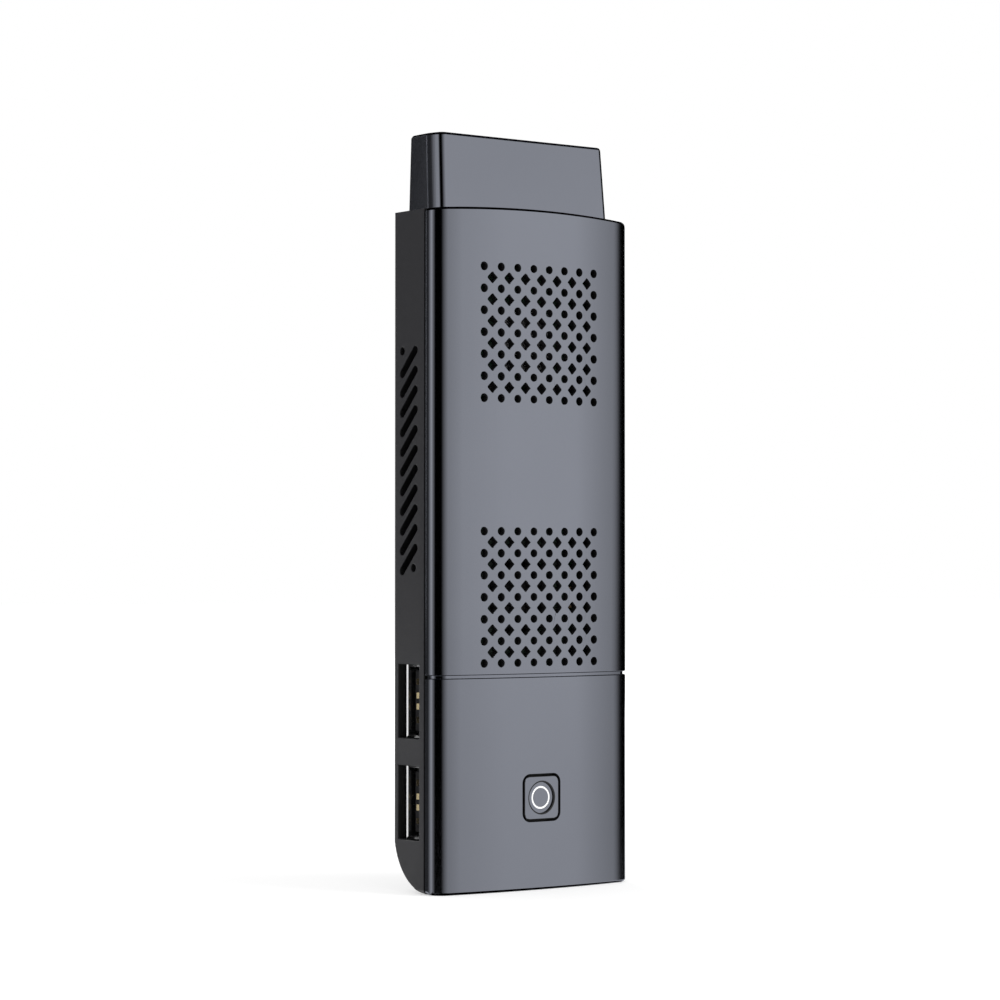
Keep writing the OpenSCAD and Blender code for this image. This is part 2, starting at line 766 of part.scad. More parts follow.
module port_openings() {
  for (z = [port_upper_z, port_lower_z])
    translate([0, port_y, z]) along_x(-half_w - over, -inner_half + over)
      square([port_opening_h, port_opening_w], center = true);
  translate([0, inlet_y, inlet_z]) along_x(inner_half - over, half_w + over)
    square([inlet_h + 2 * fit_clear, inlet_w + 2 * fit_clear], center = true);
  translate([0, jack_y, jack_z]) along_x(inner_half - over, half_w + over)
    circle(d = jack_nose_d + 2 * fit_clear);
  translate([0, card_y, card_z]) along_x(inner_half - over, half_w + over)
    square([card_h, card_w], center = true);
  along_z(-end_wall - over, over)
    square([plug_w + 2 * plug_clear, plug_t + 2 * plug_clear], center = true);
}

module rear_shell() {
  color([0.23, 0.24, 0.25])
    difference() {
      union() {
        difference() {
          shell_outside();
          shell_inside();
        }
        shell_lip();
        intersection() {
          shell_outside();
          for (p = board_posts)
            pin_y(p, board_back_y, back_y - back_wall / 2, boss_d);
        }
      }
      for (p = board_posts)
        pin_y(p, board_back_y - over, board_back_y + screw_grip + screw_room, screw_d);
      side_vents();
      hook_pockets();
      port_openings();
    }
}

// Section of the front covers across the stick, drawn in by an inset
module cover_section(inset = 0) {
  corner_x = half_w - edge_r;
  corner_y = crown_y(corner_x) + edge_r - corner_proud;
  r = edge_r - inset;
  right_edge = arc_points([corner_x, corner_y], r, 0, -90);
  left_edge = arc_points([-corner_x, corner_y], r, -90, -180);
  intersection() {
    translate([0, front_y + crown_r]) circle(crown_r - inset, $fn = 360);
    polygon(concat(
      [[half_w - inset, corner_y + cover_d]], right_edge,
      [[corner_x, front_y - over], [-corner_x, front_y - over]], left_edge,
      [[-half_w + inset, corner_y + cover_d]]
    ));
    translate([-body_w, front_y - over]) square([2 * body_w, cover_d + over]);
  }
}

// Both front covers as one shell, before they are parted at the seam
module cover_shell() {
  difference() {
    intersection() {
      along_z(bottom_z - over, over) cover_section();
      along_y(front_y - over, rim_y + over) arched_outline();
    }
    cover_inside();
  }
}

module cover_inside() {
  along_z(bottom_z + wall, -end_wall) intersection() {
    translate([0, front_y + crown_r]) circle(crown_r - cover_wall, $fn = 360);
    translate([-inner_half, front_y]) square([2 * inner_half, cover_d + over]);
  }
  block([-lip_out - fit_clear, lip_y, lip_bottom_z - fit_clear],
        [lip_out + fit_clear, rim_y + over, lip_top_z + fit_clear]);
}

module snap_hooks(places) {
  for (z = places, side = [0, 1])
    mirror([side, 0, 0]) {
      block([hook_x - hook_t, hook_root_y, z - hook_l / 2], [hook_x, hook_end_y, z + hook_l / 2]);
      block([hook_x - hook_t, hook_end_y - barb_t, z - hook_l / 2],
            [inner_half + barb, hook_end_y, z + hook_l / 2]);
    }
}

// One field of round holes with diamonds between them, in the XZ plane
module vent_field(top_z) {
  left = -(vent_cols - 1) * vent_pitch_x / 2;
  for (i = [0 : vent_cols - 1], j = [0 : vent_rows - 1])
    translate([left + i * vent_pitch_x, top_z - j * vent_pitch_z]) circle(d = dot_d);
  for (i = [0 : vent_cols - 2], j = [0 : vent_rows - 2])
    translate([left + (i + 0.5) * vent_pitch_x, top_z - (j + 0.5) * vent_pitch_z])
      circle(d = diamond_w, $fn = 4);
}

// The part of the lap joint that the upper cover slides under the lower one
module seam_tongue(z0, z1, inset) {
  difference() {
    along_z(z0, z1) cover_section(inset);
    cover_inside();
  }
}

module front_cover_upper() {
  color([0.5, 0.51, 0.55])
    difference() {
      union() {
        intersection() {
          cover_shell();
          block([-body_w, front_y - over, seam_z], [body_w, rim_y + over, over]);
        }
        seam_tongue(seam_z - seam_gap - seam_lap, seam_z + over, seam_depth);
        snap_hooks(upper_hooks);
      }
      along_y(front_y - over, rim_y) {
        vent_field(upper_vent_z);
        vent_field(lower_vent_z);
      }
    }
}

module front_cover_lower() {
  color([0.5, 0.51, 0.55])
    difference() {
      union() {
        difference() {
          intersection() {
            cover_shell();
            block([-body_w, front_y - over, bottom_z - over], [body_w, rim_y + over, seam_z - seam_gap]);
          }
          along_z(seam_z - seam_gap - seam_lap - fit_clear, seam_z) cover_section(seam_depth - fit_clear);
        }
        snap_hooks(lower_hooks);
      }
      translate([0, 0, key_z]) along_y(front_y - over, rim_y)
        soft_rect(key_w + 2 * key_gap, key_w + 2 * key_gap, key_corner_r + key_gap);
    }
}

// Section of the cap at one height, whose sides turn softly towards the front
module cap_section(half, y0, y1) {
  middle = [half - cap_side_r, y0 + cap_turn];
  turn = asin(cap_turn / cap_side_r);
  right_side = arc_points(middle, cap_side_r, 0, -turn);
  left_side = arc_points([-middle[0], middle[1]], cap_side_r, 180 + turn, 180);
  far_y = y1 + cap_corner_r;
  intersection() {
    offset(cap_corner_r)
      offset(delta = -cap_corner_r)
        polygon(concat([[half, far_y]], right_side, left_side, [[-half, far_y]]));
    translate([-body_w, y0 - over]) square([2 * body_w, y1 - y0 + over]);
  }
}

// Solid cap, drawn in by a wall where its inside is wanted
module cap_form(inset, top) {
  y0 = back_y - cap_back_step - cap_d + inset;
  y1 = back_y - cap_back_step - inset;
  half = cap_w / 2 - inset;
  lean = top / cap_h;
  top_half = half - cap_side_draft * lean;
  top_y0 = y0 + cap_front_draft * lean;
  hull() {
    along_z(-over, 0) cap_section(half, y0, y1);
    along_z(top - cap_top_r - slice, top - cap_top_r) cap_section(top_half, top_y0, y1);
    along_z(top - slice, top) cap_section(top_half - cap_top_r, top_y0 + cap_top_r, y1 - cap_top_r);
  }
}

// Everything below the foot of the cap, which follows the arched end at a gap
module cap_foot() {
  reach = asin(half_w / arch_r);
  polygon(concat(
    arc_points([0, -arch_r], arch_r + cap_gap, 90 + reach, 90 - reach),
    [[body_w, -body_w], [-body_w, -body_w]]
  ));
}

module plug_cap() {
  grip_x = plug_w / 2 + rib_clear;
  grip_y = plug_t / 2 + rib_clear;
  color([0.5, 0.51, 0.55])
    difference() {
      union() {
        difference() {
          cap_form(0, cap_h);
          cap_form(cap_wall, cap_h - cap_wall);
        }
        intersection() {
          cap_form(cap_wall / 2, cap_h - cap_wall / 2);
          union() {
            for (side = [0, 1])
              mirror([side, 0, 0]) {
                block([grip_x, -body_t, 0], [grip_x + rib_t, body_t, cap_h]);
                block([grip_x / 2, grip_y, 0], [grip_x / 2 + rib_t, body_t, cap_h]);
                block([grip_x / 2, -body_t, 0], [grip_x / 2 + rib_t, -grip_y, cap_h]);
              }
          }
        }
      }
      along_y(-body_t, body_t) cap_foot();
    }
}

// Video plug

module plug_outline(inset) {
  w = plug_w / 2 - inset;
  t = plug_t / 2 - inset;
  side_y = t - plug_cut;
  top_x = w - plug_cut;
  polygon([[-w, -t], [w, -t], [w, side_y], [top_x, t], [-top_x, t], [-w, side_y]]);
}

module plug_shell() {
  color([0.75, 0.75, 0.77])
    difference() {
      along_z(plug_inner_z, plug_reach) plug_outline(0);
      along_z(plug_inner_z - over, plug_reach + over) plug_outline(plug_sheet);
    }
}

module plug_insulator() {
  color([0.07, 0.07, 0.08])
    difference() {
      along_z(plug_inner_z, plug_front_z) plug_outline(plug_sheet);
      along_z(plug_floor_z, plug_reach) square([plug_slot_w, plug_slot_t], center = true);
    }
}

// One row of contacts along a face of the plug's slot
module plug_contact_row(count, y) {
  for (i = [0 : count - 1])
    translate([(i - (count - 1) / 2) * plug_contact_pitch - plug_contact_w / 2, y, plug_floor_z])
      cube([plug_contact_w, contact_t, plug_contact_l]);
}

module plug_contacts() {
  color([0.85, 0.68, 0.3]) {
    plug_contact_row(10, plug_slot_t / 2 - contact_t);
    plug_contact_row(9, -plug_slot_t / 2);
  }
}

// Data ports, whose mouths sit behind the left wall

module data_port_shell(z) {
  color([0.75, 0.75, 0.77])
    translate([0, port_y, z]) {
      along_x(port_x - port_out, port_back_x) tube_outline(port_h, port_w, port_sheet);
      along_x(port_x - port_out, port_x) difference() {
        square([port_h + 2 * port_lip, port_w + 2 * port_lip_end], center = true);
        square([port_h - port_sheet, port_w - port_sheet], center = true);
      }
    }
}

module data_port_insulator(z) {
  inner_w = port_w - 2 * port_sheet;
  inner_h = port_h - 2 * port_sheet;
  color([0.06, 0.06, 0.07])
    translate([0, port_y, z]) {
      block([port_back_x - port_block, -inner_h / 2, -inner_w / 2], [port_back_x, inner_h / 2, inner_w / 2]);
      block([tongue_x, tongue_front_y, -tongue_w / 2],
            [port_back_x - port_block, tongue_back_y, tongue_w / 2]);
    }
}

module data_port_contacts(z) {
  start_x = tongue_x - contact_t;
  color([0.85, 0.68, 0.3])
    for (side = [-1, 1], dz = [port_contact_inner, port_contact_outer])
      translate([start_x, port_y + tongue_front_y - contact_t, z + side * dz - port_contact_w / 2]) {
        cube([port_back_x - port_block - start_x, contact_t, port_contact_w]);
        cube([contact_t, contact_t + port_contact_wrap, port_contact_w]);
      }
}

module data_port_upper_shell() {
  data_port_shell(port_upper_z);
}

module data_port_upper_insulator() {
  data_port_insulator(port_upper_z);
}

module data_port_upper_contacts() {
  data_port_contacts(port_upper_z);
}

module data_port_lower_shell() {
  data_port_shell(port_lower_z);
}

module data_port_lower_insulator() {
  data_port_insulator(port_lower_z);
}

module data_port_lower_contacts() {
  data_port_contacts(port_lower_z);
}

// Power inlet, audio jack and card slot in the right wall

module power_inlet_shell() {
  color([0.75, 0.75, 0.77])
    translate([0, inlet_y, inlet_z])
      along_x(inlet_back_x, inlet_mouth_x) tube_outline(inlet_h, inlet_w, small_sheet);
}

module power_inlet_insulator() {
  inner_w = inlet_w - 2 * small_sheet;
  inner_h = inlet_h - 2 * small_sheet;
  color([0.06, 0.06, 0.07])
    translate([0, inlet_y, inlet_z]) {
      block([inlet_back_x, -inner_h / 2, -inner_w / 2], [inlet_tongue_x, inner_h / 2, inner_w / 2]);
      block([inlet_tongue_x, -inlet_tongue_t / 2, -inlet_tongue_w / 2],
            [inlet_mouth_x - inlet_setback, inlet_tongue_t / 2, inlet_tongue_w / 2]);
    }
}

module power_inlet_contacts() {
  end_x = inlet_mouth_x - inlet_setback - inlet_contact_setback;
  color([0.85, 0.68, 0.3])
    for (i = [-2 : 2])
      translate([inlet_tongue_x, inlet_y + inlet_tongue_t / 2, inlet_z + i * inlet_contact_pitch])
        translate([0, 0, -inlet_contact_w / 2]) cube([end_x - inlet_tongue_x, contact_t, inlet_contact_w]);
}

module audio_jack_body() {
  color([0.06, 0.06, 0.07])
    translate([0, jack_y, jack_z])
      difference() {
        union() {
          along_x(jack_inner_x, inner_half - fit_clear) square([jack_w, jack_w], center = true);
          along_x(inner_half - over, jack_mouth_x) circle(d = jack_nose_d);
        }
        along_x(jack_mouth_x - jack_bore_l, jack_mouth_x + over) circle(d = jack_bore_d);
      }
}

module audio_jack_contacts() {
  tail_z = (jack_w + contact_t) / 2;
  color([0.75, 0.75, 0.77])
    for (i = [0 : 2], side = [-1, 1])
      translate([jack_inner_x + jack_tail_w + i * jack_tail_pitch, board_back_y,
                 jack_z + side * tail_z - contact_t / 2])
        cube([jack_tail_w, jack_tail_h, contact_t]);
}

module card_slot_shell() {
  outer_w = card_w + 2 * small_sheet;
  color([0.75, 0.75, 0.77])
    difference() {
      block([card_back_x, board_back_y, card_z - outer_w / 2],
            [inner_half - fit_clear, board_back_y + card_h + small_sheet, card_z + outer_w / 2]);
      block([card_back_x + small_sheet, board_back_y - over, card_z - card_w / 2],
            [inner_half + over, board_back_y + card_h, card_z + card_w / 2]);
    }
}

module card_slot_base() {
  color([0.06, 0.06, 0.07])
    block([card_back_x + small_sheet, board_back_y, card_z - card_w / 2],
          [inner_half - card_base_setback, board_back_y + card_base_t, card_z + card_w / 2]);
}

module card_slot_contacts() {
  count = 8;
  start_x = card_back_x + card_contact_start;
  first_z = card_z - (count - 1) / 2 * card_contact_pitch - card_contact_w / 2;
  color([0.85, 0.68, 0.3])
    for (i = [0 : count - 1])
      translate([start_x, board_back_y + card_base_t, first_z + i * card_contact_pitch])
        cube([card_contact_l, contact_t, card_contact_w]);
}

// Power key

module power_key() {
  flange_w = key_w + 2 * (key_gap + key_flange);
  color([0.5, 0.51, 0.55])
    difference() {
      union() {
        intersection() {
          translate([0, 0, key_z])
            along_y(front_y - over, key_back_y) soft_rect(key_w, key_w, key_corner_r);
          along_z(bottom_z, 0) translate([0, front_y + crown_r]) circle(crown_r, $fn = 360);
        }
        translate([0, 0, key_z]) along_y(flange_y, key_back_y) soft_rect(flange_w, flange_w, key_corner_r);
        pin_y([0, key_z], key_back_y - over, stem_end_y, plunger_d);
      }
      pin_y([0, key_z], front_y - over, front_y + dish_depth, dish_d);
      difference() {
        pin_y([0, key_z], front_y, front_y + dish_depth + ring_t, ring_d);
        pin_y([0, key_z], front_y - over, front_y + dish_depth + ring_t + over, ring_d - 2 * ring_w);
      }
    }
}

module key_light_ring() {
  inner_d = ring_d - 2 * ring_w;
  ring_y = front_y + dish_depth;
  color([0.95, 0.96, 0.97])
    difference() {
      pin_y([0, key_z], ring_y, ring_y + ring_t, ring_d - 2 * groove_slack);
      pin_y([0, key_z], front_y, ring_y + ring_t + over, inner_d + 2 * groove_slack);
    }
}

module switch_plunger() {
  color([0.1, 0.1, 0.11]) pin_y([0, key_z], stem_end_y, plunger_end_y, plunger_d);
}

module switch_body() {
  color([0.15, 0.15, 0.16])
    difference() {
      translate([0, 0, key_z])
        along_y(switch_y, board_front_y) soft_rect(switch_w, switch_w, switch_corner_r);
      pin_y([0, key_z], switch_y - over, dome_y + dome_t, plunger_d + 2 * fit_clear);
    }
}

module switch_dome() {
  color([0.8, 0.8, 0.8]) pin_y([0, key_z], dome_y, dome_y + dome_t, plunger_d);
}

module status_lamp() {
  color([0.95, 0.95, 0.9])
    front_chip([(switch_w + lamp_l + chip_gap) / 2, key_z], lamp_l, lamp_w, lamp_h);
}

// Main board and what is soldered to it

module main_board() {
  color([0.05, 0.22, 0.13])
    difference() {
      block([-board_half, board_front_y, board_bottom_z], [board_half, board_back_y, board_top_z]);
      for (p = concat(board_posts, sink_posts, fan_posts))
        pin_y(p, board_front_y - over, board_back_y + over, screw_d + 2 * fit_clear);
      pin_y([0, fan_z], board_front_y - over, board_back_y + over, intake_d);
    }
}

// Flat package on the front of the board
module front_chip(place, w, l, h) {
  block([place[0] - w / 2, board_front_y - h, place[1] - l / 2],
        [place[0] + w / 2, board_front_y, place[1] + l / 2]);
}

module processor() {
  color([0.12, 0.12, 0.13])
    block([-processor_w / 2, board_back_y, sink_z - processor_w / 2],
          [processor_w / 2, pad_y, sink_z + processor_w / 2]);
}

module memory_chips() {
  color([0.09, 0.09, 0.1])
    for (sx = [-1, 1], sz = [-1, 1])
      front_chip([sx * memory_x, sink_z + sz * memory_z], memory_w, memory_l, memory_h);
}

module flash_chip() {
  color([0.09, 0.09, 0.1]) front_chip([0, flash_z], flash_w, flash_l, memory_h);
}

module power_chip() {
  color([0.09, 0.09, 0.1])
    front_chip([power_chip_x, flash_z], power_chip_w, power_chip_w, power_chip_h);
}

module power_coils() {
  color([0.25, 0.25, 0.26])
    for (i = [-1 : 1])
      front_chip([coil_x, inlet_z + i * coil_pitch], coil_w, coil_w, coil_h);
}

module ceramic_capacitors() {
  color([0.72, 0.6, 0.45])
    for (i = [-2 : 2]) {
      front_chip([power_chip_x + i * capacitor_pitch, capacitor_z], capacitor_w, capacitor_l, power_chip_h);
      front_chip([capacitor_x, inlet_z + i * coil_pitch / 2], capacitor_l, capacitor_w, power_chip_h);
    }
}

module clock_crystal() {
  color([0.78, 0.78, 0.8]) front_chip([crystal_x, sink_z], crystal_w, crystal_l, crystal_h);
}

module wireless_board() {
  color([0.05, 0.22, 0.13]) front_chip([0, wireless_z], wireless_w, wireless_w, wireless_t);
}

module wireless_shield() {
  shield_w = wireless_w - 2 * shield_margin;
  color([0.75, 0.75, 0.77])
    translate([0, -wireless_t, 0]) front_chip([0, wireless_z], shield_w, shield_w, shield_h);
}

module chip_antennas() {
  color([0.9, 0.9, 0.88])
    for (side = [-1, 1])
      front_chip([side * antenna_x, board_bottom_z + antenna_w], antenna_l, antenna_w, antenna_h);
}

// Cooling

module thermal_pad() {
  color([0.6, 0.62, 0.7])
    block([-processor_w / 2, pad_y, sink_z - processor_w / 2],
          [processor_w / 2, sink_y, sink_z + processor_w / 2]);
}

module heat_sink() {
  pin_top_y = inner_back_y - pin_gap;
  cols = floor((sink_w - pin_w) / pin_pitch);
  rows = floor((sink_l - pin_w) / pin_pitch);
  color([0.62, 0.63, 0.65])
    difference() {
      union() {
        block([-sink_w / 2, sink_y, sink_z - sink_l / 2],
              [sink_w / 2, sink_y + sink_base, sink_z + sink_l / 2]);
        for (i = [0 : cols], j = [0 : rows])
          translate([(i - cols / 2) * pin_pitch, sink_y, sink_z + (j - rows / 2) * pin_pitch])
            translate([-pin_w / 2, 0, -pin_w / 2]) cube([pin_w, pin_top_y - sink_y, pin_w]);
        for (p = sink_posts)
          pin_y(p, board_back_y, sink_y + sink_base, sink_post_d);
      }
      for (p = sink_posts)
        pin_y(p, board_back_y - over, board_back_y + sink_grip, screw_d);
    }
}

module fan_housing() {
  color([0.08, 0.08, 0.09])
    difference() {
      translate([0, 0, fan_z]) {
        difference() {
          along_y(fan_front_y, fan_back_y) soft_rect(fan_w, fan_w, fan_corner_r);
          along_y(fan_front_y + fan_plate, fan_back_y + over)
            soft_rect(2 * fan_inner_half, 2 * fan_inner_half, fan_corner_r - fan_wall);
          along_y(fan_front_y - over, fan_front_y + over) circle(d = intake_d);
          block([-outlet_w / 2, fan_front_y + fan_plate, 0], [outlet_w / 2, fan_back_y + over, fan_w]);
        }
        for (side = [-1, 1])
          pin_y([side * fan_post, -fan_post], fan_front_y, fan_back_y, fan_post_d);
      }
      for (p = fan_posts)
        pin_y(p, fan_front_y - over, fan_front_y + screw_grip, screw_d);
    }
}

module fan_cover() {
  color([0.7, 0.7, 0.72])
    translate([0, 0, fan_z]) {
      along_y(fan_back_y, fan_back_y + fan_plate) soft_rect(fan_w, fan_w, fan_corner_r);
      difference() {
        pin_y([0, 0], bearing_y[0], fan_back_y + fan_plate / 2, 2 * tube_r);
        pin_y([0, 0], bearing_y[0] - over, fan_back_y, bearing_d);
      }
    }
}

module fan_bearing() {
  color([0.72, 0.55, 0.3])
    translate([0, 0, fan_z])
      difference() {
        pin_y([0, 0], bearing_y[0], bearing_y[1], bearing_d);
        pin_y([0, 0], bearing_y[0] - over, bearing_y[1] + over, shaft_d + 2 * shaft_clear);
      }
}

module fan_stator() {
  height = [bearing_y[0] + stator_step, fan_back_y];
  color([0.6, 0.35, 0.2])
    translate([0, 0, fan_z])
      difference() {
        union() {
          pin_y([0, 0], height[0], height[1], 2 * (tube_r + stator_ring));
          intersection() {
            pin_y([0, 0], height[0], height[1] - impeller_gap, 2 * stator_r);
            for (a = [0, 90])
              rotate([0, a, 0])
                block([-hub_d, height[0], -stator_arm_w / 2], [hub_d, height[1], stator_arm_w / 2]);
          }
        }
        pin_y([0, 0], height[0] - over, height[1] + over, 2 * tube_r);
      }
}

module fan_impeller() {
  color([0.1, 0.1, 0.11])
    translate([0, 0, fan_z])
      difference() {
        union() {
          difference() {
            pin_y([0, 0], blade_y[0], blade_y[1], hub_d);
            pin_y([0, 0], blade_y[0] + cup_wall, blade_y[1] + over, hub_d - 2 * cup_wall);
          }
          pin_y([0, 0], blade_y[0], bearing_y[0] - impeller_gap, 2 * shaft_d);
          intersection() {
            difference() {
              pin_y([0, 0], blade_y[0], blade_y[1], impeller_d);
              pin_y([0, 0], blade_y[0] - over, blade_y[1] + over, hub_d - cup_wall);
            }
            for (i = [0 : blade_count - 1])
              rotate([0, i * 360 / blade_count, 0])
                translate([hub_d / 2 - cup_wall / 2, 0, 0])
                  rotate([0, blade_angle, 0])
                    block([0, blade_y[0], -blade_t / 2], [impeller_d / 2, blade_y[1], blade_t / 2]);
          }
        }
        pin_y([0, 0], blade_y[0] + cup_wall, blade_y[1] + over, shaft_d);
      }
}

module fan_magnet() {
  color([0.2, 0.2, 0.21])
    translate([0, 0, fan_z])
      difference() {
        pin_y([0, 0], blade_y[0] + cup_wall, blade_y[1], hub_d - 2 * cup_wall);
        pin_y([0, 0], blade_y[0], blade_y[1] + over, hub_d - 2 * cup_wall - 2 * magnet_t);
      }
}

module fan_shaft() {
  color([0.8, 0.8, 0.82]) pin_y([0, fan_z], blade_y[0] + cup_wall, fan_back_y - fit_clear, shaft_d);
}

module fan_lead() {
  color([0.6, 0.1, 0.1])
    for (side = [-1, 1])
      translate([0, board_back_y + lead_d / 2, lead_z + side * lead_pitch / 2])
        along_x(fan_w / 2, socket_x) circle(d = lead_d);
}

module fan_socket() {
  color([0.92, 0.9, 0.82])
    block([socket_x, board_back_y, lead_z - socket_l / 2],
          [socket_x + socket_w, board_back_y + socket_h, lead_z + socket_l / 2]);
}

// Fasteners

module board_screws() {
  color([0.3, 0.3, 0.32])
    for (p = board_posts)
      screw(p, board_front_y, board_t + screw_grip);
}

module heat_sink_screws() {
  color([0.3, 0.3, 0.32])
    for (p = sink_posts)
      screw(p, board_front_y, board_t + sink_grip - fit_clear);
}

module fan_screws() {
  color([0.3, 0.3, 0.32])
    for (p = fan_posts)
      screw(p, board_front_y, board_t + screw_grip - fit_clear);
}

rear_shell();
front_cover_upper();
front_cover_lower();
plug_cap();
plug_shell();
plug_insulator();
plug_contacts();
data_port_upper_shell();
data_port_upper_insulator();
data_port_upper_contacts();
data_port_lower_shell();
data_port_lower_insulator();
data_port_lower_contacts();
power_inlet_shell();
power_inlet_insulator();
power_inlet_contacts();
audio_jack_body();
audio_jack_contacts();
card_slot_shell();
card_slot_base();
card_slot_contacts();
power_key();
key_light_ring();
switch_plunger();
switch_body();
switch_dome();
status_lamp();
main_board();
processor();
memory_chips();
flash_chip();
power_chip();
power_coils();
ceramic_capacitors();
clock_crystal();
wireless_board();
wireless_shield();
chip_antennas();
thermal_pad();
heat_sink();
fan_housing();
fan_cover();
fan_stator();
fan_bearing();
fan_impeller();
fan_magnet();
fan_shaft();
fan_lead();
fan_socket();
board_screws();
heat_sink_screws();
fan_screws();
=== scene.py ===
# %% [markdown]
# # A stick computer, dressed
# The stick is a slim box that hangs from a screen by its own plug. Its crowned front is two satin covers
# with fields of vent holes, its sides and back are one dark moulded shell, and a cap guards the plug.
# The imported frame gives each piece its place, so this script adds what the solids lack: soft edges, true
# normals on the crown, finishes, and the light of a small studio.

# %% Load the frame
import json
import math

import bmesh
import bpy
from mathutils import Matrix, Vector


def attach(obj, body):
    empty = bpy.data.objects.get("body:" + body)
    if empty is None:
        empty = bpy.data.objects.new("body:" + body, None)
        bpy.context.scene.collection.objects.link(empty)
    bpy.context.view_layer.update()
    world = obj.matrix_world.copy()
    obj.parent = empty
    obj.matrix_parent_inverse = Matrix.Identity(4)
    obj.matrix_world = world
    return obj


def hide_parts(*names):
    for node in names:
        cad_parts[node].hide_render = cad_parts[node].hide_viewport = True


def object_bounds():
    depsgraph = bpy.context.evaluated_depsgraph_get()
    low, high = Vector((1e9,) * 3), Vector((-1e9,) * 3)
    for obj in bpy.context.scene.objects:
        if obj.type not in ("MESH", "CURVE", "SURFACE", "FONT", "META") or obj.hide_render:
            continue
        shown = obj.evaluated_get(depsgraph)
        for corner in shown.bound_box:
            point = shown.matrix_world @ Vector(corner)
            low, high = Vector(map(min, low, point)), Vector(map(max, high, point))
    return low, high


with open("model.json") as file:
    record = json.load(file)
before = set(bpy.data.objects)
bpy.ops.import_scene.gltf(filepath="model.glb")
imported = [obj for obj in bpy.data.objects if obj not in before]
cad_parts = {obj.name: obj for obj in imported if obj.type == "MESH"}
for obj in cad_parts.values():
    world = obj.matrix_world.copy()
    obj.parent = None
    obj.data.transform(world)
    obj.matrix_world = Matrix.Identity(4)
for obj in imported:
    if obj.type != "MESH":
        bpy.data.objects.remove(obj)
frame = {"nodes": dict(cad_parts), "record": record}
cad_low, cad_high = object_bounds()
bpy.ops.object.select_all(action="DESELECT")
scene = bpy.context.scene
scene.view_settings.view_transform = "Standard"
MM = 0.001
print("CAD box, mm:", [round(side / MM, 2) for side in cad_high - cad_low])

# %% [markdown]
# ## The camera
# The photograph was taken from the front left with a long lens, level with the middle of the stick.
# A camera can be placed by eye, or worked out from what is known to be straight and even. The grid of
# vent holes is even, so its pixels gave the turn, the distance and the focal length.

# %% Camera
CAMERA_PLACE = (-0.34936, -0.46056, -0.06624)
CAMERA_TURN = 37.0
CAMERA_PITCH = 1.28
CAMERA_LENS = 111.7
CAMERA_SENSOR = 36.0
CAMERA_NEAR = 0.01
CAMERA_FAR = 50.0

camera_data = bpy.data.cameras.new("camera")
camera = bpy.data.objects.new("camera", camera_data)
scene.collection.objects.link(camera)
camera.location = CAMERA_PLACE
camera.rotation_euler = (math.radians(90 + CAMERA_PITCH), 0, math.radians(-CAMERA_TURN))
camera_data.sensor_width = CAMERA_SENSOR
camera_data.lens = CAMERA_LENS
camera_data.clip_start = CAMERA_NEAR
camera_data.clip_end = CAMERA_FAR
scene.camera = camera
print("camera", CAMERA_LENS, "mm lens at", CAMERA_PLACE)

# %% [markdown]
# ## Words for shaders
# A material is a graph of nodes. Drawn by hand it soon becomes a knot, so a socket is wrapped in a small
# class on which plus, minus and times add the Math nodes: `1 - mask * 0.2` then reads as it is meant.
# Every other node comes from one method, which sets the node up first and then fills its sockets.


# %% Values and finishes
class Value:
    """A socket of a finish that can be reckoned with."""

    def __init__(self, finish, socket):
        self.finish = finish
        self.socket = socket

    def math(self, operation, other=0.0, flipped=False):
        pair = (other, self) if flipped else (self, other)
        return self.finish.node("ShaderNodeMath", {"operation": operation}, {0: pair[0], 1: pair[1]})

    def __add__(self, other):
        return self.math("ADD", other)

    def __sub__(self, other):
        return self.math("SUBTRACT", other)

    def __mul__(self, other):
        return self.math("MULTIPLY", other)

    def __lt__(self, other):
        return self.math("LESS_THAN", other)

    def __gt__(self, other):
        return self.math("GREATER_THAN", other)

    def __rsub__(self, other):
        return self.math("SUBTRACT", other, flipped=True)

    __radd__ = __add__
    __rmul__ = __mul__


class Finish:
    """A material with one shader, whose nodes are added by node() and linked by put()."""

    def __init__(self, name, tree=None):
        if tree is None:
            self.material = bpy.data.materials.new(name)
            self.material.use_nodes = True
            tree = self.material.node_tree
        self.tree = tree
        self.shader = tree.nodes.get("Principled BSDF")

    def node(self, kind, settings=None, sockets=None, output=0):
        made = self.tree.nodes.new(kind)
        for name, setting in (settings or {}).items():
            setattr(made, name, setting)
        for key, value in (sockets or {}).items():
            self.fill(made.inputs[key], value)
        return Value(self, made.outputs[output])

    def fill(self, socket, value):
        if isinstance(value, Value):
            self.tree.links.new(value.socket, socket)
        else:
            socket.default_value = value

    def put(self, **sockets):
        for key, value in sockets.items():
            self.fill(self.shader.inputs[key.replace("_", " ")], value)

    def place(self):
        return self.node("ShaderNodeTexCoord", output="Object")

    def grain(self, size, detail=2.0, stretch=(1.0, 1.0, 1.0)):
        """Cloudy noise from about -0.5 to 0.5, with clouds of that size in millimetres."""
        scale = [1.0 / (size * MM * part) for part in stretch]
        sockets = {"Vector": self.place(), "Scale": scale}
        spot = self.node("ShaderNodeMapping", {"vector_type": "POINT"}, sockets)
        noise = self.node("ShaderNodeTexNoise", {}, {"Vector": spot, "Scale": 1.0, "Detail": detail})
        return noise - 0.5

    def blend(self, amount, first, second):
        """The first colour where amount is 0 and the second where it is 1."""
        sockets = {0: amount, 6: (*first, 1.0), 7: (*second, 1.0)}
        return self.node("ShaderNodeMix", {"data_type": "RGBA"}, sockets, output=2)

    def bump(self, height, depth):
        """Normals for a height of 0 to 1 that stands for a depth in millimetres."""
        sockets = {"Height": height, "Strength": 1.0, "Distance": depth * MM}
        self.put(Normal=self.node("ShaderNodeBump", {}, sockets))


print("shader words ready")

